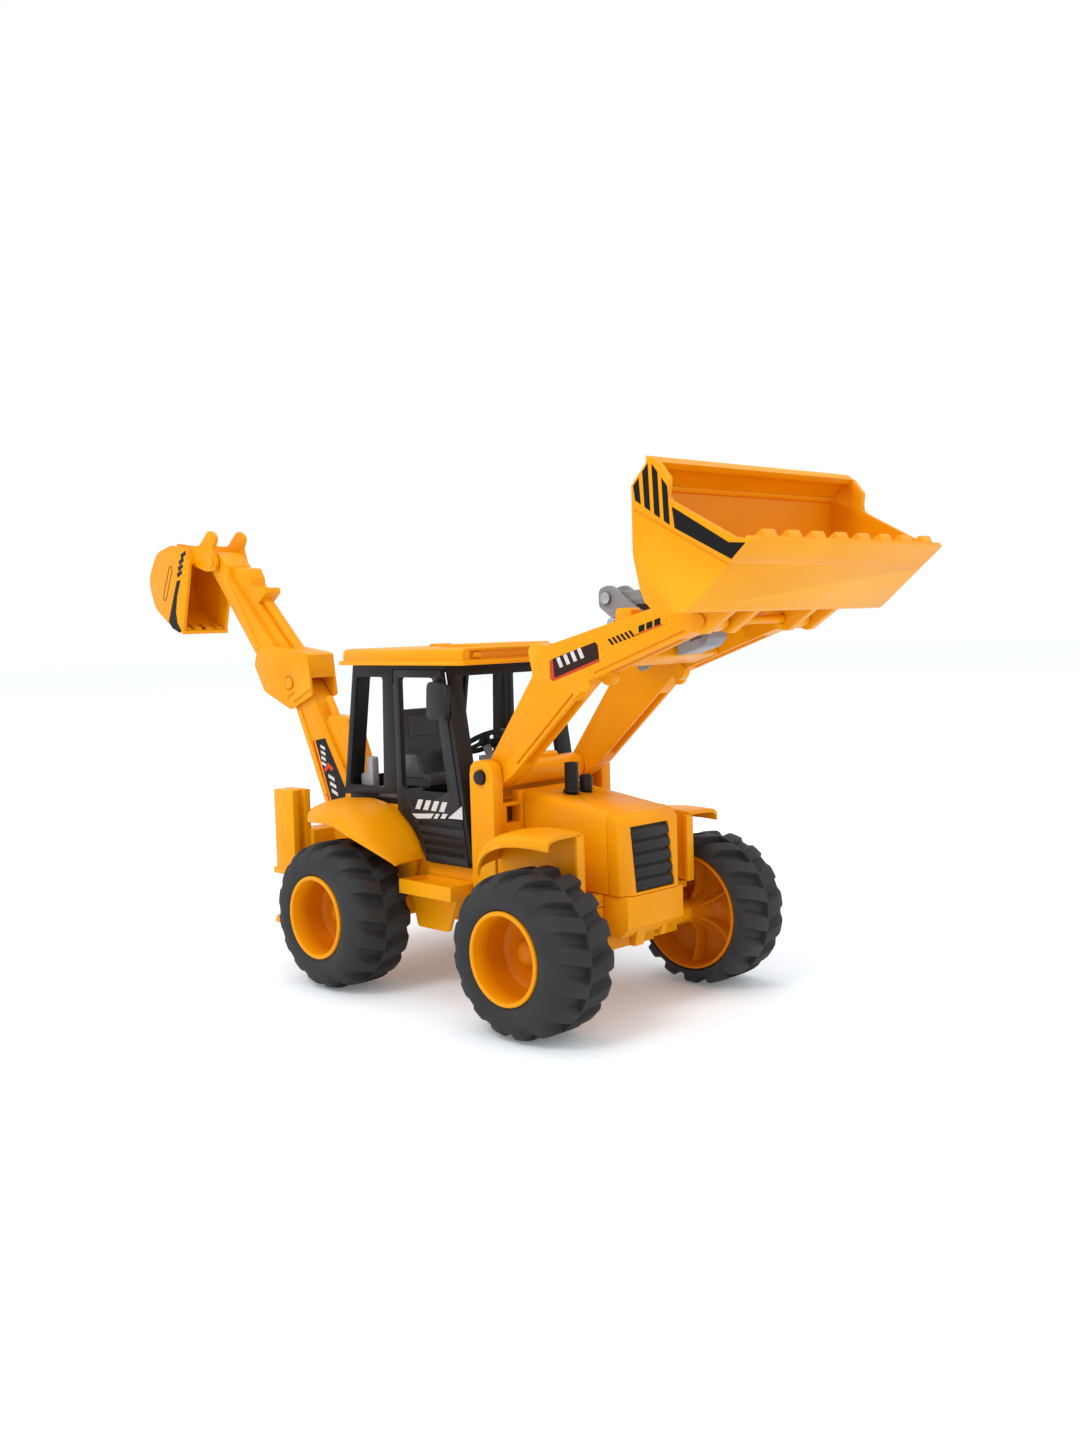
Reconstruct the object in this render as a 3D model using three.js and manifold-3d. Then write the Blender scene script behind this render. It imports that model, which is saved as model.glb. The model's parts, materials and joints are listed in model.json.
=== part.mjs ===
// Toy backhoe loader, in millimetres. +X is forward, +Y is left, +Z is up, and the tyres stand on z = 0.
// While it is drawn, x = 0 is the front axle. The last section moves the middle of the toy's length to x = 0.
import * as THREE from "three";
import { mergeVertices } from "three/addons/utils/BufferGeometryUtils.js";
import Module from "manifold-3d";

const wasm = await Module();
wasm.setup();

// ---------------------------------------------------------------- driving dimensions

const GAP = 0.3; // air between two pieces that would touch
const WALL = 2; // moulded wall

const WHEELBASE = 126;
const AXLE_Z = 34;
const AXLE_R = 2.5;
const AXLE_END = 58; // inside the caps of the hubs
const TYRE_R = 34; // over the lugs
const TREAD_R = 31;
const TYRE_IN = 41; // nearest face to the middle of the toy
const TYRE_OUT = 74;
const RIM_R = 18.7; // round opening in the outer sidewall
const RIM_IN_R = 26.2; // open dish on the inner side
const LUGS = 16; // lugs in each of the two rows

const FRAME_HALF = 14; // half width of the central channel
const FRAME_TOP = 46.2;
const FRAME_LOW = 27;
const FRAME_REAR = -149;
const FRAME_FRONT = 3.7;
const AXLE_TUBE = 40; // half length of the tubes round the axles

const HOOD_HALF = 19;
const HOOD_REAR = -41.5;
const HOOD_SEAM = 8;
const HOOD_LOW = 52.1;
const HOOD_TOP = 93.6; // at its rear end
const HOOD_FALL = 0.14; // how much the top falls per millimetre forward
const NOSE_FRONT = 17.6;
const STACK_AT = [-25, -5.4]; // exhaust stack, in plan
const CLEANER_AT = [-25, 3.6]; // air cleaner, in plan

const TOWER_IN = 31.6;
const TOWER_OUT = 37.6;
const LIFT = [-49, 100]; // loader arm pivot in the towers
const ARM_IN = 22.4;
const ARM_OUT = 31;
const TIP = [72, 165.5]; // loader bucket pivot in the arm tips
const CRANK = [18, 165.5]; // tilt lever pivot
const THROW = [-19, 10.5]; // lever pin from its pivot, and bucket pin from the arm tip
const LEVER_PIN = [CRANK[0] + THROW[0], CRANK[1] + THROW[1]];
const BUCKET_PIN = [TIP[0] + THROW[0], TIP[1] + THROW[1]];
const BUCKET_HALF = 63;
const PIN_R = 2; // pins of the loader arm
const LINK_PIN_R = 1.6; // pins at the two ends of the tilt link
const FOOT_PIN_R = 2.5;
const ELBOW_PIN_R = 2.4;

const CAB_HALF = 36.2;
const CAB_TOP = 148.4;
const DOOR_LOW = 59.3;
const PILLAR_X = -108.4; // seam between the door and the rear quarter
const ARCH = [-128, 44]; // centre of the rear mudguard's arch
const ARCH_R = 41.5;

const POST_X = [-182.5, -166.5]; // stabilizer post, rear and front faces
const POST_Y = [44.5, 55];
const POST_Z = [46, 88];
const SWING_X = -190; // upright axis of the backhoe
const BOOM_FOOT = [-191, 68];
const ELBOW = [-233, 137.5];
const DIG = [-303, 206]; // backhoe bucket pivot in the dipper tip
const BOOM_HALF = 6.2;
const DIPPER_HALF = 7.8;
const ELBOW_HALF = 8.6;
const SCOOP_HALF = 15;

// ---------------------------------------------------------------- solids

// A closed three.js geometry as a solid, turned to face outwards.
function solid(geometry) {
  const plain = new THREE.BufferGeometry();
  plain.setAttribute("position", geometry.getAttribute("position"));
  if (geometry.index) plain.setIndex(geometry.index);
  const merged = mergeVertices(plain, 1e-4);
  const p = merged.getAttribute("position");
  const index = merged.index.array;
  const kept = [];
  let volume = 0;
  for (let i = 0; i < index.length; i += 3) {
    const [a, b, c] = [index[i], index[i + 1], index[i + 2]];
    if (a === b || b === c || c === a) continue;
    kept.push(a, b, c);
    const [va, vb, vc] = [a, b, c].map((k) => new THREE.Vector3().fromBufferAttribute(p, k));
    volume += va.dot(vb.cross(vc));
  }
  if (volume < 0) kept.reverse();
  return new wasm.Manifold(
    new wasm.Mesh({
      numProp: 3,
      vertProperties: new Float32Array(p.array),
      triVerts: new Uint32Array(kept),
    }),
  );
}

// Joins solids into one.
function join(...solids) {
  return solids.reduce((a, b) => a.add(b));
}

// Takes the later solids out of the first.
function cut(first, ...others) {
  return others.reduce((a, b) => a.subtract(b), first);
}

function box(x0, x1, y0, y1, z0, z1) {
  const g = new THREE.BoxGeometry(Math.abs(x1 - x0), Math.abs(y1 - y0), Math.abs(z1 - z0));
  g.translate((x0 + x1) / 2, (y0 + y1) / 2, (z0 + z1) / 2);
  return solid(g);
}

// Corners [a, b, radius] become a polygon whose corners with a radius are rounded by an arc.
function rounded(corners, steps = 3) {
  const out = [];
  corners.forEach(([a, b, r = 0], i) => {
    const here = new THREE.Vector2(a, b);
    if (!r) {
      out.push(here);
      return;
    }
    const before = new THREE.Vector2(...corners.at(i - 1).slice(0, 2)).sub(here);
    const after = new THREE.Vector2(...corners[(i + 1) % corners.length].slice(0, 2)).sub(here);
    const half = Math.acos(before.clone().normalize().dot(after.clone().normalize())) / 2;
    const reach = Math.min(r / Math.tan(half), before.length() / 2, after.length() / 2);
    const start = here.clone().add(before.setLength(reach));
    const end = here.clone().add(after.setLength(reach));
    for (let k = 0; k <= steps; k++) {
      const t = k / steps;
      const p = start.clone().multiplyScalar((1 - t) * (1 - t));
      p.addScaledVector(here, 2 * t * (1 - t));
      out.push(p.addScaledVector(end, t * t));
    }
  });
  return out;
}

function extruded(points, depth) {
  return new THREE.ExtrudeGeometry(new THREE.Shape(points), { depth, bevelEnabled: false });
}

// A side outline, corners [x, z, radius], from y0 to y1.
function side(corners, y0, y1) {
  const g = extruded(rounded(corners), Math.abs(y1 - y0));
  g.rotateX(Math.PI / 2);
  g.translate(0, Math.max(y0, y1), 0);
  return solid(g);
}

// A front outline, corners [y, z, radius], from x0 to x1.
function front(corners, x0, x1) {
  const g = extruded(rounded(corners), Math.abs(x1 - x0));
  const axes = [new THREE.Vector3(0, 1, 0), new THREE.Vector3(0, 0, 1), new THREE.Vector3(1, 0, 0)];
  g.applyMatrix4(new THREE.Matrix4().makeBasis(...axes));
  g.translate(Math.min(x0, x1), 0, 0);
  return solid(g);
}

// A plan outline, corners [x, y, radius], from z0 to z1.
function plan(corners, z0, z1) {
  const g = extruded(rounded(corners), z1 - z0);
  g.translate(0, 0, z0);
  return solid(g);
}

// A round bar between two points.
function bar(a, b, r, segments = 12, endR = r) {
  const from = new THREE.Vector3(...a);
  const to = new THREE.Vector3(...b);
  const g = new THREE.CylinderGeometry(endR, r, from.distanceTo(to), segments);
  const turn = new THREE.Quaternion();
  turn.setFromUnitVectors(new THREE.Vector3(0, 1, 0), to.clone().sub(from).normalize());
  g.applyQuaternion(turn);
  g.translate(...from.add(to).multiplyScalar(0.5).toArray());
  return solid(g);
}

// A round bar along Y at a side-view point.
function crossBar([x, z], r, y0, y1, segments = 12) {
  return bar([x, y0, z], [x, y1, z], r, segments);
}

// An upright round bar at a plan point. Its upper end may have a radius of its own.
function upright([x, y], r, z0, z1, segments = 14, topR = r) {
  return bar([x, y, z0], [x, y, z1], r, segments, topR);
}

// A ring profile, [radius, y], turned about a wheel's axle.
function turned(profile, segments) {
  const points = profile.map(([r, y]) => new THREE.Vector2(r, y));
  return solid(new THREE.LatheGeometry([...points, points[0].clone()], segments));
}

// The closed outline of a wall of even thickness whose outer face follows an open line of corners.
// The thickness lies to the right of the line.
function wall(corners, thickness) {
  const line = rounded(corners.map((c, i) => (i && i < corners.length - 1 ? c : c.slice(0, 2))));
  const back = line.map((p, i) => {
    const a = line[Math.max(i - 1, 0)];
    const b = line[Math.min(i + 1, line.length - 1)];
    const inTo = p.clone().sub(a).normalize();
    const outOf = b.clone().sub(p).normalize();
    const along = (i === 0 ? outOf : i === line.length - 1 ? inTo : inTo.add(outOf)).normalize();
    const turn = i === 0 || i === line.length - 1 ? 1 : along.dot(outOf);
    return p.clone().add(new THREE.Vector2(along.y, -along.x).multiplyScalar(thickness / turn));
  });
  return [...line, ...back.reverse()].map((p) => [p.x, p.y]);
}

// A skin through rings of points, closed at both ends. Every ring has the same number of points.
function loft(rings) {
  const n = rings[0].length;
  const positions = rings.flat(2);
  const index = [];
  for (let i = 0; i < rings.length - 1; i++) {
    for (let j = 0; j < n; j++) {
      const [a, b] = [i * n + j, i * n + ((j + 1) % n)];
      index.push(a, b, b + n, a, b + n, a + n);
    }
  }
  const last = (rings.length - 1) * n;
  for (let j = 1; j < n / 2; j++) {
    const [a, b, c, d] = [j - 1, j, n - j - 1, n - j];
    index.push(d, b, a, d, c, b);
    if (c === b) continue;
    index.push(last + a, last + b, last + d, last + b, last + c, last + d);
  }
  const g = new THREE.BufferGeometry();
  g.setAttribute("position", new THREE.Float32BufferAttribute(positions, 3));
  g.setIndex(index);
  return solid(g);
}

// The same solid on the other side of the toy.
function mirrored(s) {
  return s.mirror([0, 1, 0]);
}

// ---------------------------------------------------------------- materials

const FINISH = {
  yellow: ["#ffaa12", 0.32],
  orange: ["#e86a05", 0.4],
  tyre: ["#36363a", 0.85],
  black: ["#2b2b2d", 0.45],
  darkGrey: ["#4c4c50", 0.5],
  grey: ["#8d8d92", 0.45],
  lightGrey: ["#a9a9ad", 0.5],
  steel: ["#b4b6b8", 0.3],
};

const toy = new THREE.Group();
toy.name = "toy_backhoe_loader";

// Adds a solid to the toy as one named piece.
function piece(name, made, finish) {
  const mesh = made.getMesh();
  const g = new THREE.BufferGeometry();
  g.setAttribute("position", new THREE.BufferAttribute(new Float32Array(mesh.vertProperties), 3));
  g.setIndex(new THREE.BufferAttribute(new Uint32Array(mesh.triVerts), 1));
  g.computeVertexNormals();
  const [color, roughness] = FINISH[finish];
  const metalness = finish === "steel" ? 1 : 0;
  const m = new THREE.Mesh(g, new THREE.MeshStandardMaterial({ color, roughness, metalness }));
  m.name = name;
  toy.add(m);
}

// Adds a right-hand piece and its left-hand twin. The given solid is the left one.
function pair(name, made, finish) {
  piece(name + "_left", made, finish);
  piece(name + "_right", mirrored(made), finish);
}

// ---------------------------------------------------------------- wheels

// Tyre carcass: smooth outer sidewall, rounded shoulders and a thick bead over the hub.
function carcass() {
  const [i, o] = [TYRE_IN, TYRE_OUT];
  return turned(
    [
      [RIM_IN_R + 0.3, i + 1.2],
      [RIM_IN_R + 2.4, i],
      [TREAD_R, i + 2.4],
      [TREAD_R, o - 6],
      [TREAD_R - 5, o],
      [RIM_R + 1.8, o - 0.4],
      [RIM_R + 0.9, o - 4.5],
      [RIM_IN_R + 0.3, o - 12],
    ],
    24,
  );
}

// One slanted tread lug at the bottom of the tyre, from the middle of the tread out over a shoulder.
function lug(outer) {
  const middle = (TYRE_IN + TYRE_OUT) / 2;
  const width = 4.6;
  const reach = TREAD_R - 2.4;
  const half = outer
    ? [
        [middle + 0.6, reach],
        [TYRE_OUT - 2, reach],
        [TYRE_OUT - 4.5, TYRE_R],
        [middle - 1, TYRE_R],
      ]
    : [
        [TYRE_IN + 1.4, reach],
        [middle - 0.6, reach],
        [middle + 1, TYRE_R],
        [TYRE_IN + 3, TYRE_R],
      ];
  const g = extruded(
    half.map(([y, r]) => new THREE.Vector2(y, -r)),
    width,
  );
  const lean = outer ? -0.5 : 0.5;
  const centre = middle + (outer ? 7 : -7);
  const place = new THREE.Matrix4();
  // The outline's first number goes along y, its second along z, and the lug slants as it goes outwards.
  place.set(lean, 0, 1, -width / 2 - lean * centre, 1, 0, 0, 0, 0, 1, 0, 0, 0, 0, 0, 1);
  g.applyMatrix4(place);
  return solid(g);
}

function tyre() {
  let made = carcass();
  for (const outer of [true, false]) {
    const one = lug(outer);
    for (let k = 0; k < LUGS; k++) {
      const turn = ((k + (outer ? 0 : 0.5)) * 360) / LUGS;
      made = made.add(one.rotate([0, turn, 0]));
    }
  }
  return made.translate([0, 0, AXLE_Z]);
}

// Hub: rolled outer lip, deep outer dish, open inner dish with six ribs, and a blind bore for the axle.
function hub() {
  const [i, o] = [TYRE_IN, TYRE_OUT];
  const dish = turned(
    [
      [AXLE_R + GAP, i - 0.4],
      [5, i - 0.4],
      [6, i + 6],
      [10, i + 12],
      [RIM_IN_R - 3, i + 13],
      [RIM_IN_R - 1.8, i + 0.4],
      [RIM_IN_R, i + 0.4],
      [RIM_IN_R, o - 12.3],
      [RIM_R + 0.6, o - 4.8],
      [RIM_R + 0.9, o - 0.4],
      [RIM_R - 0.6, o],
      [RIM_R - 1.4, o - 1.6],
      [RIM_R - 2.6, o - 16.5],
      [6.5, o - 17.5],
      [5.5, o - 13.4],
      [0, o - 12.4],
      [0, AXLE_END + GAP],
      [AXLE_R + GAP, AXLE_END + GAP],
    ],
    24,
  );
  let made = dish;
  for (let k = 0; k < 6; k++) {
    const turn = k * 60;
    const rib = side([[6, -1], [RIM_IN_R - 1.2, -1], [RIM_IN_R - 1.2, 1], [6, 1]], i + 5, i + 13.5);
    made = made.add(rib.rotate([0, turn, 0]));
  }
  return made.translate([0, 0, AXLE_Z]);
}

function wheels(name, x) {
  piece(name + "_axle", crossBar([x, AXLE_Z], AXLE_R, -AXLE_END, AXLE_END, 16), "steel");
  pair(name + "_tyre", tyre().translate([x, 0, 0]), "tyre");
  pair(name + "_hub", hub().translate([x, 0, 0]), "yellow");
}

// ---------------------------------------------------------------- lower body

// Central channel, open below, with a housing and a tube across it for each axle.
function chassisFrame() {
  let made = cut(
    box(FRAME_REAR, FRAME_FRONT, -FRAME_HALF, FRAME_HALF, FRAME_LOW, FRAME_TOP),
    box(FRAME_REAR + WALL, FRAME_FRONT - WALL, WALL - FRAME_HALF, FRAME_HALF - WALL,
      FRAME_LOW - 1, FRAME_TOP - WALL),
  );
  for (const [axle, front] of [[0, FRAME_FRONT], [-WHEELBASE, 7 - WHEELBASE]]) {
    const housing = box(axle - 7, front, -30, 30, AXLE_Z - 6, FRAME_TOP);
    const tubes = [1, -1].map((s) => crossBar([axle, AXLE_Z], 4.8, s * 29, s * AXLE_TUBE, 16));
    const bore = crossBar([axle, AXLE_Z], AXLE_R + GAP, -45, 45, 16);
    made = cut(join(made, housing, ...tubes), bore);
  }
  return made;
}

// Flat deck under the hood and the mudguards, with a low plinth that closes the hood's lower edge.
function frontDeck() {
  return join(
    box(-56, FRAME_FRONT, -TOWER_OUT, TOWER_OUT, FRAME_TOP + GAP, 49.7),
    box(-41.4, FRAME_FRONT, -HOOD_HALF - 4, HOOD_HALF + 4, 49.6, HOOD_LOW - GAP),
  );
}

// Hollow lower body under the cab, higher at the back between the rear wheels, with two ribs inside.
function bodyTub() {
  const outline = [[FRAME_REAR, FRAME_TOP + GAP], [-56.4, FRAME_TOP + GAP], [-56.4, 58],
    [-92, 58], [-99, 83], [FRAME_REAR, 83]];
  const inside = [[FRAME_REAR + WALL, 40], [-56.4 - WALL, 40], [-56.4 - WALL, 58 - WALL],
    [-93.6, 58 - WALL], [-100.6, 83 - WALL], [FRAME_REAR + WALL, 83 - WALL]];
  const ribs = [1, -1].map((s) => side(outline, s * 9.5, s * 11.5));
  return join(cut(side(outline, -33.5, 33.5), side(inside, WALL - 33.5, 33.5 - WALL)), ...ribs);
}

// Step tray with a raised rim, and the tapered tank moulding under it.
function sideStep() {
  const tray = cut(box(-92.5, -57, 34, 50, 46, 52.4), box(-91, -58.5, 35.5, 48.5, 50.6, 53));
  const tank = side([[-98, 46], [-96, 43], [-92, 29, 2], [-71, 29, 2], [-65, 43], [-64, 46.5]], 15, 40);
  return join(tray, cut(tank, box(-95, -68, 17, 38, 20, 43)));
}

// Bumper block with a chamfered lower edge and two small lugs below.
function frontBumper() {
  const top = HOOD_LOW - GAP;
  const block = side([[4, 34], [13, 34], [17.5, 38.5], [17.5, top, 0.6], [4, top]], -18, 18);
  const hollow = box(2, 12, -15, 15, 30, 49);
  const lug = [[10.6, 29.6], [14, 29.6], [16, 38], [10.6, 38]];
  const small = [[10.6, 31.6], [14, 31.6], [16, 38], [10.6, 38]];
  return join(cut(block, hollow), side(lug, -10, -4.5), side(small, 6.5, 9.5));
}

// ---------------------------------------------------------------- hood and nose

// Section of the hood across the toy, with rounded upper edges.
function hoodSection(half, top, r) {
  return [[-half, 40], [half, 40], [half, top, r], [-half, top, r]];
}

// Shears a solid so that it falls towards the front, as the hood's top does.
function falling(s) {
  return s.transform([1, 0, -HOOD_FALL, 0, 0, 1, 0, 0, 0, 0, 1, 0, 0, 0, 0, 1]);
}

function hood() {
  const topAtZero = HOOD_TOP + HOOD_REAR * HOOD_FALL;
  const outside = falling(front(hoodSection(HOOD_HALF, topAtZero, 4), HOOD_REAR, HOOD_SEAM - GAP));
  const inside = falling(
    front(hoodSection(HOOD_HALF - WALL, topAtZero - WALL, 3), HOOD_REAR + WALL, HOOD_SEAM - WALL),
  );
  const sockets = [STACK_AT, CLEANER_AT].map((at) => upright(at, 2.9, 85, 99));
  return cut(outside.intersect(box(-60, 20, -30, 30, HOOD_LOW, 120)), inside, ...sockets);
}

// Nose: leans back towards the top and has a pocket for the grille.
function nose() {
  const top = HOOD_TOP + HOOD_REAR * HOOD_FALL - HOOD_SEAM * HOOD_FALL;
  const profile = side(
    [[HOOD_SEAM, HOOD_LOW], [NOSE_FRONT, HOOD_LOW], [14.6, top - 5.2, 2], [11, top - 1.2, 2],
      [HOOD_SEAM, top]], -30, 30);
  const across = plan(
    [[HOOD_SEAM, -HOOD_HALF], [NOSE_FRONT - 3.5, -HOOD_HALF, 2], [NOSE_FRONT + 1, -13, 3],
      [NOSE_FRONT + 1, 13, 3], [NOSE_FRONT - 3.5, HOOD_HALF, 2], [HOOD_SEAM, HOOD_HALF]], 40, 100);
  const crown = front(hoodSection(HOOD_HALF, top + 0.2, 4), 0, 30);
  const pocket = box(NOSE_FRONT - 5, 30, -12.2, 12.2, HOOD_LOW + 1, top - 6.2);
  return cut(profile.intersect(across).intersect(crown), pocket);
}

// Grille insert: a back plate with five leaning slats.
function grille() {
  const [low, high] = [HOOD_LOW + 1 + GAP, 80];
  const x = NOSE_FRONT - 5 + GAP;
  const lean = 0.1;
  const plate = side([[x, low], [x + 3.6, low], [x + 3.6 - lean * (high - low), high], [x, high]],
    -11.9, 11.9);
  let made = plate;
  const pitch = (high - low) / 5;
  for (let k = 0; k < 5; k++) {
    const z = low + k * pitch;
    const out = x + 3.6 - lean * (z - low);
    made = made.add(side([[x, z + 0.6], [out + 1.1, z + 0.6], [out + 1.1, z + pitch * 0.55],
      [out - 0.3, z + pitch * 0.9], [x, z + pitch * 0.9]], -11.9, 11.9));
  }
  return made;
}

function exhaustStack() {
  const tube = join(
    upright(STACK_AT, 2.5, 86.5, 92.2),
    upright(STACK_AT, 4.2, 92.1, 93.8, 14, 3.1),
    upright(STACK_AT, 3.1, 93.7, 105),
  );
  return cut(tube, upright(STACK_AT, 2, 96, 106));
}

function airCleaner() {
  return join(
    upright(CLEANER_AT, 2.5, 86.5, 92.2),
    upright(CLEANER_AT, 3, 92, 97.5),
    upright(CLEANER_AT, 3, 97.4, 98.9, 14, 2.2),
  );
}

// ---------------------------------------------------------------- loader mounting

// Panel between the towers with a square pocket at each side, and a screen behind the arm pivots.
function bulkhead() {
  const panel = join(box(-46.4, -42, -31.2, 31.2, 50.1, 88.4), box(-46.4, -42, -21.6, 21.6, 88, 93));
  const pockets = [1, -1].map((s) => box(-50, -41, s * 20.5, s * 29, 79.4, 86.8));
  const behind = box(-55, -46.3, -31.2, 31.2, 50.1, 88);
  const hollow = box(-53, -47.9, -29.2, 29.2, 49, 86);
  const ledge = box(-59.2, -54.9, -31.2, 31.2, 84.5, 88);
  const screen = box(-59.2, -57.4, -31.2, 31.2, 87, 96.6);
  return cut(join(panel, behind, ledge, screen), ...pockets, hollow);
}

// Upright plate that carries one end of the arm pivot pin.
function tower() {
  const plate = side([[-56.2, 50.1], [-41.2, 50.1], [-41.2, 107.5, 6.5], [-56.2, 107.5, 6.5]],
    TOWER_IN, TOWER_OUT);
  return cut(plate, crossBar(LIFT, 3 + GAP, 20, 50, 16));
}

function liftPin() {
  return join(
    crossBar(LIFT, 3, ARM_IN + 0.6, TOWER_OUT + 0.4, 16),
    crossBar(LIFT, 3.1, TOWER_OUT + 0.3, TOWER_OUT + 1.4, 16),
  );
}

// Front mudguard: inner wall beside the hood and a curved shelf over the inner half of the tyre.
function frontFender() {
  const start = [-40.6, 67];
  const hold = [-37, 84];
  const end = [8, 81];
  const across = [[36.4, 0], [50, -0.5], [53.8, -1.2], [55, -2.6], [55, -6]];
  const rings = [];
  for (let k = 0; k <= 10; k++) {
    const t = k / 10;
    const [x, z] = [0, 1].map(
      (i) => (1 - t) ** 2 * start[i] + 2 * t * (1 - t) * hold[i] + t * t * end[i],
    );
    const top = across.map(([y, drop]) => [x + (1 - t) * (y - 36) * 0.35, y, z + drop]);
    const under = across.map(([y, drop], i) => [
      x + (1 - t) * (y - 36) * 0.35 + (1 - t) * 1.2,
      Math.min(y, 53.6),
      z + drop - (i < 4 ? 1.6 : 0),
    ]);
    rings.push([...top, ...under.reverse()]);
  }
  const shelf = loft(rings);
  const inner = side([[-40.6, 50.1], [8, 50.1], [8, 79.8], [-10, 80.6], [-28, 78.4], [-40.6, 68]],
    34.6, 36.6);
  const edge = box(6, 8, 33, 36.6, 50.1, 79.8);
  return join(shelf, inner, edge);
}

// ---------------------------------------------------------------- rear mudguard

// A point of the rear arch at an angle, in side view: round in front, nearly level behind its highest point.
function archPoint(angle, r = ARCH_R) {
  const x = ARCH[0] + r * Math.cos(angle);
  const behind = ARCH[0] - x;
  return [x, ARCH[1] + (behind > 0 ? r - 0.06 * behind : r * Math.sin(angle))];
}

const ARCH_FROM = THREE.MathUtils.degToRad(118);
const ARCH_TO = THREE.MathUtils.degToRad(23);

// Rear mudguard: an arch whose top bends down to an outer lip, narrower towards both ends.
function rearFender() {
  const across = [[36.8, 0], [52, -0.8], [60, -2.2], [64.4, -4], [66, -6.2], [66, -9]];
  const rings = [];
  for (let k = 0; k <= 14; k++) {
    const t = k / 14;
    const [x, z] = archPoint(ARCH_FROM + (ARCH_TO - ARCH_FROM) * t);
    const fall = Math.max(0.15, Math.min(1, (z - 58) / 24));
    const reach = 1 - 0.42 * Math.max(0, (t - 0.55) / 0.45) ** 2 - 0.2 * Math.max(0, 1 - t / 0.3) ** 2;
    const top = across.map(([y, drop]) => [x, 36.8 + (y - 36.8) * reach, z + drop * fall]);
    const inward = new THREE.Vector2(ARCH[0] - x, ARCH[1] - z).setLength(1.7);
    const under = across.map(([y, drop], i) => [
      x + inward.x,
      36.8 + (Math.min(y, 64.3) - 36.8) * reach,
      z + (i < 5 ? drop : -7) * fall + (i < 5 ? inward.y : -1.2),
    ]);
    rings.push([...top, ...under.reverse()]);
  }
  const shelf = loft(rings);
  const skirt = side([[FRAME_REAR, 47], [-99.5, 47], ...archEdge(ARCH_R - 1.2, 0.9), [FRAME_REAR, 82.4]],
    34, 37.2);
  return join(shelf, skirt.subtract(side([[-152, 40], [-141, 60], [-126, 68], [-111, 64], [-100, 40]],
    30, 35.4)));
}

// Points along the rear arch from the front end back, as side-view corners.
function archEdge(r, upTo = 1) {
  const points = [];
  for (let k = 0; k <= 8; k++) {
    points.push(archPoint(ARCH_TO + ((ARCH_FROM - ARCH_TO) * upTo * k) / 8, r));
  }
  return points;
}

// ---------------------------------------------------------------- cab

// The cab leans in towards the roof at the front and at the rear.
function cabFrontX(z) {
  return -57 - ((z - 59) * 15) / 88;
}

function cabRearX(z) {
  return -149.4 + ((z - 85) * 10) / 62;
}

function cabFrame() {
  const h = CAB_HALF;
  const top = CAB_TOP;
  // Rear quarters with their windows.
  const quarter = cut(
    side([[cabRearX(86), 86], [PILLAR_X, 88.6], [PILLAR_X, top], [cabRearX(top), top]], h - WALL, h),
    side([[cabRearX(91) + 3.6, 91, 1.5], [-118.6, 91, 1.5], [-116.8, 143, 1.5],
      [cabRearX(143) + 3.6, 143, 1.5]], h - 5, h + 5),
  );
  // Windscreen frame and rear window frame, each a leaning plate with an opening.
  const frontPlate = cut(
    side([[cabFrontX(61) - 2.4, 61], [cabFrontX(61), 61], [cabFrontX(top), top],
      [cabFrontX(top) - 2.4, top]], -h, h),
    front([[-27, 99, 2], [27, 99, 2], [27, 143.5, 2], [-27, 143.5, 2]], -90, -40),
  );
  const rearPlate = cut(
    side([[cabRearX(86), 86], [cabRearX(86) + 2.4, 86], [cabRearX(top) + 2.4, top],
      [cabRearX(top), top]], -h, h),
    front([[-27, 94, 2], [27, 94, 2], [27, 143.5, 2], [-27, 143.5, 2]], -170, -120),
  );
  const ceiling = side([[cabRearX(145.4), 145.4], [cabFrontX(145.4), 145.4], [cabFrontX(top), top],
    [cabRearX(top), top]], -h, h);
  // The top of each door opening, which the door sits under.
  const doorTop = box(PILLAR_X - 1, cabFrontX(147) + 6, h - 2.4, h + 1, 140, 146.9);
  // Floor: a foot well in front and a higher deck behind.
  const floor = side(wall([[cabFrontX(61) - 1, 58.4], [-91.3, 58.4], [-98.3, 83.4],
    [cabRearX(86) + 1, 83.4]], 2.6), 2.6 - h, h - 2.6);
  const made = join(quarter, mirrored(quarter), frontPlate, rearPlate, ceiling, floor);
  const recess = door(GAP);
  return cut(made, doorTop, mirrored(doorTop), recess, mirrored(recess));
}

// Outline of a door, grown by a margin on every edge that faces another piece.
function doorOutline(grow = 0) {
  const top = 146.6 + grow;
  const low = DOOR_LOW - grow;
  const arch = archEdge(ARCH_R + 0.7 - grow, 0.63);
  const inArch = arch.filter(([x, z]) => z > low && x > PILLAR_X + 0.5);
  return [
    [PILLAR_X + GAP - grow, top],
    [PILLAR_X + GAP - grow, inArch.at(-1)[1] + 0.4],
    ...inArch.reverse(),
    [archPoint(ARCH_TO, ARCH_R + 0.7 - grow)[0], low],
    [cabFrontX(low) - 2.8 + grow, low],
    [cabFrontX(top) - 2.8 + grow, top],
  ];
}

// Door panel alone. The cab is cut back with a slightly larger one.
function door(grow = 0) {
  return side(doorOutline(grow), CAB_HALF - WALL - 0.2 - grow, CAB_HALF + 0.4 + grow);
}

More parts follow.
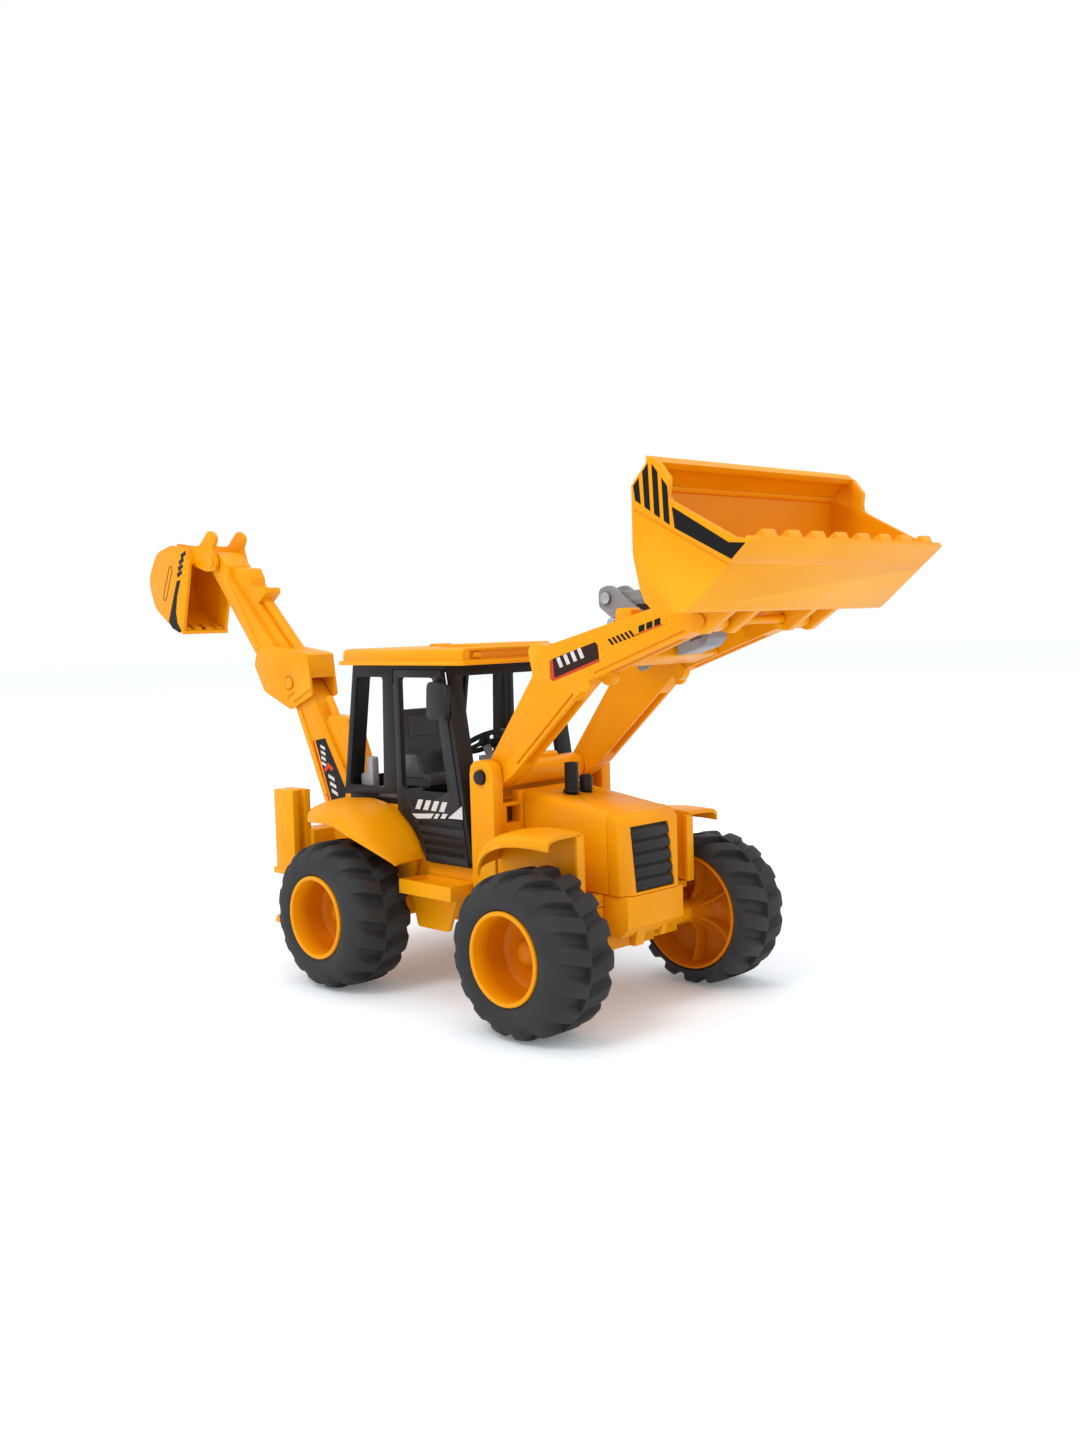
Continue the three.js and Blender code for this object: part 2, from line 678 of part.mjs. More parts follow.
// Door with its window, louvres and mirror.
function doorPiece() {
  const window = side([[-104.4, 91, 2], [cabFrontX(91) - 9.5, 91, 2], [cabFrontX(143) - 9, 143, 2],
    [-104.4, 143, 2]], 20, 50);
  let made = cut(door(), window);
  for (let k = 0; k < 5; k++) {
    const z = 62.6 + k * 4.2;
    made = made.subtract(box(-88.6 - k * 1.5, -62, CAB_HALF - 0.3, CAB_HALF + 1, z, z + 1.5));
  }
  const stalk = bar([-76.5, CAB_HALF - 1, 143.6], [-74, CAB_HALF + 4.4, 139.5], 1.1, 8);
  const mirror = side([[-79.8, 124.6, 3], [-66.6, 125, 3], [-65.4, 140.4, 3.5], [-78.8, 142, 3.5]],
    CAB_HALF + 3, CAB_HALF + 5.2);
  return join(made, stalk, mirror);
}

// Roof: thin brim, main block with a sunk front panel and two lamps in it, two low humps, and two
// hollows underneath.
function cabRoof() {
  const z = CAB_TOP + GAP;
  const brim = plan([[-146, -41, 4], [-55.5, -41, 5], [-55.5, 41, 5], [-146, 41, 4]], z, z + 2);
  const block = front([[-38.6, z + 1], [38.6, z + 1], [38.6, z + 7.6, 3], [-38.6, z + 7.6, 3]],
    -143.5, -57.5);
  const panel = cut(box(-59.7, -50, -34, 34, z + 2.6, z + 6.4),
    ...[1, -1].map((s) => box(-60, -58.4, s * 26, s * 31, z + 3.2, z + 5.6)));
  const humps = [[-120, -112, 5], [-90, -64, 24]].map(([a, b, half]) =>
    side([[a, z + 7], [b, z + 7], [b - 2, z + 9, 1], [a + 2, z + 9, 1]], -half, half));
  const hollows = [[-137, -104], [-101, -68]].map(([a, b]) => box(a, b, -33, 33, z - 1, z + 5));
  return cut(join(brim, block, ...humps), panel, ...hollows);
}

// Dashboard: sloping console under the windscreen, with the steering column on it.
function dashboard() {
  const body = side([[-66, 64], [-70, 97, 1], [-72, 104, 2], [-90, 99, 2], [-80, 64]], -14, 14);
  const column = bar([-80, 0, 99], [-85.5, 0, 109], 2, 12);
  const lamps = join(box(-78, -70, -12, -6, 100, 106), box(-78, -70, 6, 12, 100, 106));
  return join(body, column, lamps);
}

const COLUMN_TOP = [-85.8, 109.6];
const COLUMN_LEAN = [-5.5, 10];

// Steering wheel: hub, three spokes and a round rim, square to the leaning column.
function steeringWheel() {
  const rim = solid(new THREE.TorusGeometry(11, 1.3, 6, 18));
  let made = join(rim, solid(new THREE.CylinderGeometry(3, 3, 2.4, 12).rotateX(Math.PI / 2)));
  for (let k = 0; k < 3; k++) {
    const spoke = box(0, 11, -1.1, 1.1, -0.8, 0.8);
    made = made.add(spoke.rotate([0, 0, 90 + 120 * k]));
  }
  const lean = THREE.MathUtils.radToDeg(Math.atan2(COLUMN_LEAN[0], COLUMN_LEAN[1]));
  return made.rotate([0, lean, 0]).translate([COLUMN_TOP[0] - 0.8, 0, COLUMN_TOP[1] + 1.5]);
}

// Operator's seat: cushion, leaning backrest and a pedestal.
function operatorSeat() {
  const cushion = side([[-134, 88.6, 2], [-113, 88.6, 3], [-112, 95, 3], [-134, 94]], -12, 12);
  const back = side([[-136.4, 91, 2], [-130, 91], [-133.6, 125.6, 2.4], [-138.8, 125.6, 2.4]], -12, 12);
  const head = side([[-133.4, 112], [-130.8, 112, 1], [-131.8, 123, 1], [-134.4, 123]], -8, 8);
  const arms = [1, -1].map((s) => side([[-133, 93], [-119, 93], [-123, 104, 1], [-133, 104]],
    s * 12.6, s * 10));
  return join(cushion, back, head, ...arms, box(-128, -120, -5, 5, 86.4, 90));
}

// Light console behind the seat: a base plate with a stepped upright at each end.
function rearConsole() {
  const upright = [[-144, 86.4], [-134.8, 86.4], [-134.8, 104, 1.4], [-139, 104, 1.4], [-140, 96.4, 1],
    [-144, 95.4, 1]];
  return join(box(-144, -139.2, -30, 30, 86.4, 88.2), side(upright, 26, 30), side(upright, -30, -26));
}

// ---------------------------------------------------------------- loader arms

// Outline of one arm: leg from the pivot up to the knee, then the beam out to the bucket.
const ARM = [
  [LIFT[0] - 7.4, LIFT[1] - 2, 6],
  [LIFT[0] - 1, LIFT[1] - 8, 6],
  [LIFT[0] + 14, LIFT[1] + 1.5],
  [5.5, 137.5, 3],
  [12, 143, 2],
  [TIP[0] - 7, TIP[1] - 4.2],
  [TIP[0] - 1, TIP[1] - 4.2, 3],
  [TIP[0] + 3.8, TIP[1] - 2.5, 3],
  [TIP[0] + 3.8, TIP[1] + 2, 3],
  [TIP[0] - 4, TIP[1] + 3.8, 2],
  [45, 170.8],
  [-14, 156.5, 3],
  [-20.5, 158.3, 3],
  [-24.2, 155, 3],
  [-21.4, 144.5, 3],
];

// Channel sunk into the edge of an arm between two points of its outline.
function edgeChannel([ax, az], [bx, bz], from, to, depth) {
  const length = Math.hypot(bx - ax, bz - az);
  const [ux, uz] = [(bx - ax) / length, (bz - az) / length];
  const at = (along, out) => [ax + along * ux + out * uz, az + along * uz - out * ux];
  return side([at(from, -depth), at(to, -depth), at(to, 3), at(from, 3)], ARM_IN + 1.8, ARM_OUT - 2);
}

function loaderArm() {
  const body = side(ARM, ARM_IN, ARM_OUT);
  const channels = [edgeChannel(ARM[2], ARM[3], 6, 49, 2.6), edgeChannel(ARM[4], ARM[5], 7, 48, 1.8)];
  // Grooves along the lower edges of the outer face, which leave a narrow rail.
  const legGroove = side([[-32.1, 105.8], [2.3, 136.4], [1.5, 137.3], [-32.9, 106.7]],
    ARM_OUT - 1, ARM_OUT + 1);
  const beamGroove = side([[14.4, 145.2], [TIP[0] - 10.4, 161.5], [TIP[0] - 10.7, 162.3], [14.1, 146]],
    ARM_OUT - 0.6, ARM_OUT + 1);
  const bosses = [
    crossBar([8, 141], 3.4, ARM_OUT - 2, ARM_OUT + 0.2),
    crossBar([15, 143.8], 3.6, ARM_IN - 2, ARM_IN + 2),
    side([[23.5, 160], [33, 160], [32.4, 171.4, 2], [24.5, 171.4, 2]], ARM_IN, ARM_OUT - 2.4),
  ];
  const holes = [
    crossBar(LIFT, 3 + GAP, 10, 40, 16),
    crossBar(TIP, PIN_R + GAP, 10, 40),
    crossBar(CRANK, PIN_R + GAP, 10, 26),
  ];
  return cut(join(body, ...bosses), legGroove, beamGroove, ...channels, ...holes);
}

function crossTube() {
  const reach = ARM_IN - GAP;
  return join(
    crossBar(LIFT, 6, -reach, reach, 16),
    side([[LIFT[0] - 4, LIFT[1]], [LIFT[0] + 2, LIFT[1]], [LIFT[0] + 2, LIFT[1] + 8, 2],
      [LIFT[0] - 4, LIFT[1] + 8, 2]], -7, 9),
  );
}

// Beam across the arms with a hole for the cylinder rod.
function rearBeam() {
  const reach = ARM_IN - GAP;
  const block = side([[23.5, 147.5, 1], [36, 151.5, 1], [34, 160.4, 1], [21.5, 156.4, 1]],
    -reach, reach);
  return cut(block, bar([0, 0, 143.3], [60, 0, 161], 1.5 + GAP, 10));
}

function frontBeam() {
  const reach = ARM_IN - GAP;
  return side([[49, 161.8, 1], [60, 164.8, 1], [59.2, 168.4, 1], [48.2, 165.4, 1]], -reach, reach);
}

// Slim rod under the beams with an open clip at its front end.
function tiltCylinder() {
  const at = (x) => [x, 0, 143.3 + (x * 17.7) / 60];
  const clip = side([[37, 151.4, 1.5], [50, 155.2, 3.5], [53, 158.4, 1], [53, 161.8, 1], [50.4, 161, 1],
    [50, 158.9], [43.6, 157], [43.2, 160, 1], [37, 158.2, 1]], -6, 6);
  return join(bar(at(13), at(38), 1.5, 10), clip, bar(at(12), at(15), 2.2, 10));
}

// Tilt lever: two cheeks from the pivot back to the link pin, joined at the pivot.
function tiltLever() {
  const [c, p] = [CRANK, LEVER_PIN];
  const outline = [[c[0] + 3.5, c[1] - 4, 3], [c[0] + 5, c[1] + 3.5, 3], [c[0] - 2, c[1] + 5.5],
    [p[0] + 2, p[1] + 5.4, 4], [p[0] - 4.8, p[1] + 4.4, 4], [p[0] - 4.6, p[1] - 3.6, 3],
    [c[0] - 7, c[1] - 4.4]];
  const cheek = side(outline, 3.9, 5.9);
  const block = side([[c[0] + 3.5, c[1] - 4.2, 1], [c[0] + 4.8, c[1] - 0.6, 1], [c[0] - 7.5, c[1] - 0.6],
    [c[0] - 7.5, c[1] - 4.2]], -5, 5);
  const sleeve = crossBar(c, 3.4, 4, ARM_IN - 0.6, 12);
  const made = join(cheek, mirrored(cheek), block, sleeve, mirrored(sleeve));
  return cut(made, crossBar(c, PIN_R + GAP, -30, 30), crossBar(p, LINK_PIN_R + GAP, -10, 10));
}

// Tilt link: flat bar from the lever pin to the bucket pin.
function tiltLink() {
  const [p, q] = [LEVER_PIN, BUCKET_PIN];
  const r = 3;
  return cut(
    side([[p[0] - r, p[1] - r, r], [q[0] + r, q[1] - r, r], [q[0] + r, q[1] + r, r],
      [p[0] - r, p[1] + r, r]], -3.4, 3.4),
    crossBar(p, LINK_PIN_R + GAP, -10, 10),
    crossBar(q, LINK_PIN_R + GAP, -10, 10),
  );
}

// Pin with a low head at each end.
function headedPin(at, r, half, head) {
  return join(
    crossBar(at, r, -half, half),
    crossBar(at, head, half - 0.1, half + 1),
    crossBar(at, head, -half - 1, 0.1 - half),
  );
}

// ---------------------------------------------------------------- loader bucket

const BACK = [
  [73.6, 224.2],
  [64.4, 214.6],
  [64.4, 190, 16],
  [69.5, 168.6, 14],
  [88.5, 168.6, 4],
  [116.6, 192.2],
];

function loaderBucket() {
  const shell = side(wall(BACK, -WALL), -BUCKET_HALF, BUCKET_HALF);
  const cheekOutline = [...BACK, [109.6, 193.6], [83, 207.6], [81.2, 209.6], [82, 215.8], [77.4, 221.6]];
  const cheek = side(cheekOutline, BUCKET_HALF - 2.2, BUCKET_HALF);
  // Rim along the top of the back wall.
  const rim = side([[71.5, 224.6], [77, 221.9], [75.6, 219.9], [71.6, 221.6]], -BUCKET_HALF, BUCKET_HALF);
  const bead = side([[65.6, 212.6], [67.4, 213.2], [68.3, 214.8], [66.4, 215.6]], -BUCKET_HALF, BUCKET_HALF);
  let made = join(shell, cheek, mirrored(cheek), rim, bead);
  // Pads along the cutting edge, each with one slanted end.
  const pads = 8;
  const pitch = (2 * BUCKET_HALF - 8) / pads;
  for (let k = 0; k < pads; k++) {
    const y = 4 - BUCKET_HALF + (k + 0.5) * pitch;
    const profile = side([[107.8, 186.6], [115.8, 193], [113.8, 196.6, 0.6], [105.6, 190.6, 0.6]],
      y - pitch / 2, y + pitch / 2);
    const across = front([[y - 5.6, 180], [y + 5.8, 180], [y + 6.2, 200], [y + 0.6, 200]], 100, 120);
    made = made.add(profile.intersect(across));
  }
  // Hinge ears on both sides of each arm tip, and the link bracket on the back.
  const earOutline = [[TIP[0] - 4.6, TIP[1] - 3, 3], [TIP[0] + 2, TIP[1] - 5.2, 3], [94, 173.6],
    [80, 172], [66.5, 176], [TIP[0] - 4.8, TIP[1] + 2, 2]];
  for (const y of [[16.8, 20.4], [ARM_OUT + 0.6, ARM_OUT + 4]]) {
    const ear = side(earOutline, y[0], y[1]);
    made = join(made, ear, mirrored(ear));
  }
  const q = BUCKET_PIN;
  const bracket = side([[q[0] - 4, q[1] - 3.6, 3], [66.5, 177.6], [66.5, 190], [q[0] - 3, q[1] + 4.6, 3]],
    3.9, 6.1);
  made = join(made, bracket, mirrored(bracket));
  // Fine line along both cheeks under the rim.
  const lines = [1, -1].map((s) => side([[65.5, 205.6], [109.4, 182.9], [109.8, 183.7], [65.9, 206.4]],
    s * (BUCKET_HALF - 0.4), s * (BUCKET_HALF + 1)));
  return cut(
    made,
    ...lines,
    crossBar(TIP, PIN_R + 0.1, -40, 40),
    crossBar(q, LINK_PIN_R + 0.1, -10, 10),
  );
}

// ---------------------------------------------------------------- backhoe

// Rear frame: hollow cross beam with a square post at each end and a shelf for the swing post.
function rearFrame() {
  const beam = cut(
    join(
      box(-176.8, -163.5, -POST_Y[0] - 1, POST_Y[0] + 1, 50, 68),
      box(-164, FRAME_REAR - GAP, -33, 33, 50, 68),
    ),
    box(-174.4, -165.9, 2.5 - POST_Y[0], POST_Y[0] - 2.5, 40, 65.5),
    box(-166, -152, -30.5, 30.5, 40, 65.5),
  );
  const post = box(POST_X[0], POST_X[1], POST_Y[0], POST_Y[1], POST_Z[0], POST_Z[1]);
  const groove = box(-168, -160, 48, 51.4, POST_Z[0] - 1, POST_Z[1] + 1);
  const flange = box(POST_X[0] - 2, POST_X[1] + 1, POST_Y[0] - 1, POST_Y[1] + 0.6,
    POST_Z[0], POST_Z[0] + 3);
  const shelf = plan([[-204, -13, 11], [-204, 13, 11], [-176, 20], [-176, -20]], 45, 53);
  const bore = box(POST_X[0] + WALL, POST_X[1] - WALL - 1.6, POST_Y[0] + WALL, POST_Y[1] - WALL,
    POST_Z[0] - 5, POST_Z[1] - WALL);
  const left = join(post, flange);
  return cut(join(beam, left, mirrored(left), shelf), groove, mirrored(groove), bore, mirrored(bore),
    upright([SWING_X, 0], 4 + GAP, 40, 60, 16));
}

// Stabilizer leg that slides in the post, with a flat foot.
function stabilizerLeg() {
  const leg = box(POST_X[0] + WALL + 0.4, POST_X[1] - WALL - 2, POST_Y[0] + WALL + 0.4,
    POST_Y[1] - WALL - 0.4, 23, POST_Z[1] - WALL - 1);
  const foot = side([[POST_X[0] - 3, 21, 1], [POST_X[1] + 1, 21, 1], [POST_X[1] - 1, 25],
    [POST_X[0] - 1, 25]], POST_Y[0] - 0.5, POST_Y[1] + 0.5);
  return join(leg, foot);
}

// Swing post: turntable with a spigot, and two cheeks that hold the foot of the boom.
function swingPost() {
  const base = join(
    upright([SWING_X, 0], 4, 46, 54, 16),
    upright([SWING_X, 0], 9.4, 53.3, 57, 20),
  );
  const cheek = side([[-200, 54], [-182.5, 54], [BOOM_FOOT[0] + 8.5, 76, 7], [BOOM_FOOT[0] - 9, 76, 7]],
    BOOM_HALF + 0.4, BOOM_HALF + 3.2);
  return cut(join(base, cheek, mirrored(cheek)), crossBar(BOOM_FOOT, FOOT_PIN_R + GAP, -20, 20));
}

// Boom: deep beam from the foot pivot to the elbow, with a ram casing along its front.
function boom() {
  const beam = side(
    [[BOOM_FOOT[0] - 8, BOOM_FOOT[1] - 5, 6], [BOOM_FOOT[0] + 7, BOOM_FOOT[1] - 6.5, 6],
      [-178.5, 76, 4], [-213.5, 128, 3], [-225, 140.5, 5], [-235, 145, 5], [-240.5, 136, 5],
      [-230.5, 123], [-222.5, 106], [-206.5, 72, 3]],
    -BOOM_HALF, BOOM_HALF,
  );
  const casing = side([[-178, 80, 2], [-174, 88, 3], [-188, 119.4, 1.5], [-203, 120.6], [-207, 114]],
    -4.6, 4.6);
  const ram = bar([-200, 0, 115], [-209, 0, 129.5], 2.2, 12);
  const rib = side([[-207.6, 78], [-204.4, 79], [-225.6, 123], [-229, 121.6]],
    -BOOM_HALF - 0.7, BOOM_HALF + 0.7);
  return cut(join(beam, casing, ram, rib), crossBar(BOOM_FOOT, FOOT_PIN_R + GAP, -20, 20),
    crossBar(ELBOW, ELBOW_PIN_R + GAP, -20, 20));
}

// Dipper: elbow block that straddles the boom, tapering beam, and a ram in a bracket along its upper side.
function dipper() {
  const block = side([[-263.6, 153, 1], [-266, 147, 3], [-257, 132.4, 4], [-232.5, 123, 3], [-212.6, 131, 1],
    [-215.6, 152.8, 1], [-219.6, 153.9], [-251, 157.9, 2]], -ELBOW_HALF, ELBOW_HALF);
  const beam = side([[-263, 151], [-244, 150], [-246.7, 157], [-269.6, 178.8], [-289, 196.6, 2],
    [-291, 203.5, 3], [DIG[0] + 2, DIG[1] + 6.5, 5], [DIG[0] - 7.5, DIG[1] + 2, 5],
    [DIG[0] - 3, DIG[1] - 6, 4]], -DIPPER_HALF, DIPPER_HALF);
  const rail = side([[-265, 155], [-261, 157], [-292, 197.6], [-296, 195]], -DIPPER_HALF - 0.4,
    DIPPER_HALF + 0.4);
  const bracket = side([[-293, 199], [-290.5, 202.8, 2], [-276, 201.2, 2], [-272.6, 196, 1], [-272, 191.6, 1],
    [-267, 189.4], [-258.4, 190, 1], [-257.4, 187, 1], [-270, 178], [-280, 186]], -5, 5);
  const web = side([[-252, 154], [-236, 151.5], [-236.5, 154.8], [-267.5, 184], [-273, 180]], -5, 5);
  const ram = bar([-265.5, 0, 184.6], [-230, 0, 151.6], 2.8, 14);
  // Recess round the elbow pin and two slots below it, on both sides.
  const marks = [1, -1].flatMap((s) => [
    crossBar(ELBOW, 4.2, s * (ELBOW_HALF - 0.6), s * (ELBOW_HALF + 1), 16),
    side([[-234.9, 129.9], [-234.3, 128.5], [-227.2, 131.8], [-227.9, 133.2]],
      s * (ELBOW_HALF - 0.6), s * (ELBOW_HALF + 1)),
    side([[-228.8, 127.9], [-228.2, 126.7], [-213, 133.6], [-213.6, 134.8]],
      s * (ELBOW_HALF - 0.6), s * (ELBOW_HALF + 1)),
  ]);
  const slot = side([[ELBOW[0] + 8, ELBOW[1] + 5, 3], [ELBOW[0] - 4, ELBOW[1] + 9.6, 4],
    [ELBOW[0] - 10.4, ELBOW[1] + 5, 4], [ELBOW[0] - 44, ELBOW[1] - 6], [ELBOW[0] - 20, ELBOW[1] - 60],
    [ELBOW[0] + 60, ELBOW[1] - 60], [ELBOW[0] + 60, ELBOW[1] - 5]],
    -BOOM_HALF - 1, BOOM_HALF + 1);
  const made = join(block, beam, rail, bracket, web, ram);
  return cut(made, slot, ...marks, crossBar(ELBOW, ELBOW_PIN_R + GAP, -20, 20),
    crossBar(DIG, 2 + GAP, -20, 20));
}

function elbowPin() {
  const head = 3.4;
  return join(
    crossBar(ELBOW, ELBOW_PIN_R, 0.1 - ELBOW_HALF, ELBOW_HALF - 0.1, 12),
    crossBar(ELBOW, head, ELBOW_HALF - 0.5, ELBOW_HALF + 0.5, 8),
    crossBar(ELBOW, head, -ELBOW_HALF - 0.5, 0.5 - ELBOW_HALF, 8),
  );
}

// Backhoe bucket: round-backed scoop with two ears that clip over the dipper tip.
function backhoeBucket() {
  const line = [[-319.5, 206.5], [-325, 215, 3], [-339, 217.6, 8], [-356, 214, 12], [-367.5, 198, 14],
    [-360, 181, 12], [-341, 169, 2], [-329.6, 165.2]];
  const shell = side(wall(line, -WALL), -SCOOP_HALF, SCOOP_HALF);
  const cheek = side([...line, [-329.2, 169], [-321, 199]], SCOOP_HALF - 1.8, SCOOP_HALF);
  let made = join(shell, cheek, mirrored(cheek));
  for (let k = 0; k < 4; k++) {
    const y = -SCOOP_HALF + ((k + 0.5) * 2 * SCOOP_HALF) / 4;
    const pad = side([[-338.6, 169.4], [-330.4, 166.4], [-331.2, 168.8], [-338, 171.8]],
      y - 2.4, y + 2.4);
    made = made.add(pad);
  }
  const ear = side(
    [[DIG[0] + 5.6, DIG[1] - 1, 4], [DIG[0] + 2, DIG[1] + 8, 3], [DIG[0] + 6.5, DIG[1] + 14, 4],
      [DIG[0] - 1, DIG[1] + 18.6, 4], [DIG[0] - 12, DIG[1] + 10, 5], [-324, 216.5, 3], [-341, 219, 2],
      [-336, 214], [-322, 205], [DIG[0] - 6, DIG[1] - 5, 4], [DIG[0] + 3, DIG[1] - 5, 3]],
    DIPPER_HALF + 0.6, DIPPER_HALF + 3,
  );
  made = join(made, ear, mirrored(ear));
  return join(made, headedPin(DIG, 2, DIPPER_HALF + 2.9, 3.2));
}

// ---------------------------------------------------------------- assembly

wheels("front", 0);
wheels("rear", -WHEELBASE);

piece("chassis_frame", chassisFrame(), "yellow");
piece("front_deck", frontDeck(), "yellow");
piece("body_tub", bodyTub(), "yellow");
pair("side_step", sideStep(), "yellow");
piece("front_bumper", frontBumper(), "yellow");
piece("hood", hood(), "yellow");
piece("nose", nose(), "yellow");
piece("grille", grille(), "black");
piece("exhaust_stack", exhaustStack(), "black");
piece("air_cleaner", airCleaner(), "black");
piece("bulkhead", bulkhead(), "yellow");
pair("loader_tower", tower(), "yellow");
pair("lift_pin", liftPin(), "black");
pair("front_fender", frontFender(), "yellow");
pair("rear_fender", rearFender(), "yellow");

piece("cab_frame", cabFrame(), "black");
pair("door", doorPiece(), "black");
piece("cab_roof", cabRoof(), "yellow");
piece("dashboard", dashboard(), "grey");
piece("steering_wheel", steeringWheel(), "black");
piece("operator_seat", operatorSeat(), "darkGrey");
piece("rear_console", rearConsole(), "lightGrey");

pair("loader_arm", loaderArm(), "yellow");
piece("cross_tube", crossTube(), "yellow");
piece("rear_beam", rearBeam(), "yellow");
piece("front_beam", frontBeam(), "yellow");
piece("tilt_cylinder", tiltCylinder(), "grey");
piece("tilt_lever", tiltLever(), "grey");
piece("crank_shaft", crossBar(CRANK, PIN_R, -25, 25), "steel");
piece("tilt_link", tiltLink(), "grey");
piece("lever_pin", headedPin(LEVER_PIN, LINK_PIN_R, 6.4, 2.6), "steel");
piece("bucket_pin", headedPin(BUCKET_PIN, LINK_PIN_R, 6.6, 2.6), "steel");
piece("loader_bucket", loaderBucket(), "yellow");
piece("tip_shaft", headedPin(TIP, PIN_R - 0.2, ARM_OUT + 4.3, 2.8), "yellow");

piece("rear_frame", rearFrame(), "yellow");
pair("stabilizer_leg", stabilizerLeg(), "yellow");
piece("swing_post", swingPost(), "yellow");
piece("foot_pin", headedPin(BOOM_FOOT, FOOT_PIN_R, BOOM_HALF + 3.7, 4), "black");
piece("boom", boom(), "yellow");
piece("elbow_pin", elbowPin(), "yellow");
piece("dipper", dipper(), "yellow");
piece("backhoe_bucket", backhoeBucket(), "yellow");

// The middle of the toy's length goes to x = 0 and its lowest point to z = 0.
const bounds = new THREE.Box3().setFromObject(toy);
toy.position.set(-(bounds.min.x + bounds.max.x) / 2, 0, -bounds.min.z);

export default toy;
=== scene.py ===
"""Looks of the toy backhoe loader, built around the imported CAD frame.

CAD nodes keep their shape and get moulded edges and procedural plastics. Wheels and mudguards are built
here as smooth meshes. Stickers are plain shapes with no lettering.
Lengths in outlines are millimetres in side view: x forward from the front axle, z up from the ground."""

import json
import math

import bmesh
import bpy
from mathutils import Matrix, Vector


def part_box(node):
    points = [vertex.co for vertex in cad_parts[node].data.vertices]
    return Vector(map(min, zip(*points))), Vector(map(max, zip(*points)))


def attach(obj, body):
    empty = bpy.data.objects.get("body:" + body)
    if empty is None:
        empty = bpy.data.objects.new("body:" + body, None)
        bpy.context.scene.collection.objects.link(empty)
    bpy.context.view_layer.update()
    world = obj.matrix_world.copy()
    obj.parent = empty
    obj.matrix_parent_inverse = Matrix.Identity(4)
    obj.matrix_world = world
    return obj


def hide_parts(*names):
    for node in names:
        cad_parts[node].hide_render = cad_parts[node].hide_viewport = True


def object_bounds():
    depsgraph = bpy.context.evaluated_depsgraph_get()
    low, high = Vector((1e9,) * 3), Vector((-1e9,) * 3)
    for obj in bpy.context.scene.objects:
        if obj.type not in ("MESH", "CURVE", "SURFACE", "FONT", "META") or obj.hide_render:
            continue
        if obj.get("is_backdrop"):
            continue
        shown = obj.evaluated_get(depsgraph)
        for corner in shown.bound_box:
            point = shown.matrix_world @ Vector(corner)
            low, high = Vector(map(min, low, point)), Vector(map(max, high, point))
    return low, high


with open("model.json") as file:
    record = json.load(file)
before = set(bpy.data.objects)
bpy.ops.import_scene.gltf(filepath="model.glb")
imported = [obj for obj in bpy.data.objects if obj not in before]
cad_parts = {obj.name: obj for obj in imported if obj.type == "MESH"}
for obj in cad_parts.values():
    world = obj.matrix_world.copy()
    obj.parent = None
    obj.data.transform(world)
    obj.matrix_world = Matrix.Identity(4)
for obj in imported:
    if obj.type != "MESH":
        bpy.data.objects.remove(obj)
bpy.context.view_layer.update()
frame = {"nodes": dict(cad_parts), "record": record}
NODES = frame["nodes"]
SLOT_OF = {p["node"]: p["material_slot"] for p in frame["record"]["subparts"]}
BODY_OF = {n: b for b, names in frame["record"]["behaviour"]["bodies"].items() for n in names}
MM = 0.001
AXLE_HEIGHT = 34  # of the axles over the ground, in millimetres
SHARP = math.radians(32)  # edges sharper than this stay edges, flatter ones are shaded smooth


def middle(node):
    """Centre of a CAD node's box."""
    low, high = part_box(node)
    return (low + high) / 2


FRONT_AXLE = middle("front_axle")
GROUND = FRONT_AXLE.z - AXLE_HEIGHT * MM
TYRE_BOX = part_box("front_tyre_left")
TYRE_R = (TYRE_BOX[1].z - TYRE_BOX[0].z) / 2 / MM
TYRE_IN = TYRE_BOX[0].y / MM
TYRE_OUT = TYRE_BOX[1].y / MM


def place(x, y, z):
    """A point given in millimetres from the front axle and the ground, in the row frame."""
    return Vector((FRONT_AXLE.x + x * MM, y * MM, GROUND + z * MM))


# ---------------------------------------------------------------- materials


def new_material(name):
    """An empty node material with one principled shader."""
    made = bpy.data.materials.new(name)
    made.use_nodes = True
    tree = made.node_tree
    tree.nodes.clear()
    output = tree.nodes.new("ShaderNodeOutputMaterial")
    shader = tree.nodes.new("ShaderNodeBsdfPrincipled")
    tree.links.new(shader.outputs["BSDF"], output.inputs["Surface"])
    return made, tree, shader


def noise(tree, scale, detail=2.0, stretch=(1, 1, 1)):
    """Noise in the object's own metres, scale waves to the metre."""
    where = tree.nodes.new("ShaderNodeTexCoord")
    mapping = tree.nodes.new("ShaderNodeMapping")
    mapping.inputs["Scale"].default_value = stretch
    texture = tree.nodes.new("ShaderNodeTexNoise")
    texture.inputs["Scale"].default_value = scale
    texture.inputs["Detail"].default_value = detail
    tree.links.new(where.outputs["Object"], mapping.inputs["Vector"])
    tree.links.new(mapping.outputs["Vector"], texture.inputs["Vector"])
    return texture.outputs["Fac"]


def ramp(tree, factor, low, high, to_low, to_high):
    """Maps a factor from low..high to two numbers."""
    node = tree.nodes.new("ShaderNodeMapRange")
    node.inputs["From Min"].default_value = low
    node.inputs["From Max"].default_value = high
    node.inputs["To Min"].default_value = to_low
    node.inputs["To Max"].default_value = to_high
    tree.links.new(factor, node.inputs["Value"])
    return node.outputs["Result"]


def mix(tree, factor, a, b):
    """Mixes two colours. b may be a socket or a colour."""
    node = tree.nodes.new("ShaderNodeMix")
    node.data_type = "RGBA"
    tree.links.new(factor, node.inputs["Factor"])
    for socket, value in ((node.inputs[6], a), (node.inputs[7], b)):
        if isinstance(value, bpy.types.NodeSocket):
            tree.links.new(value, socket)
        else:
            socket.default_value = (*value, 1)
    return node.outputs[2]


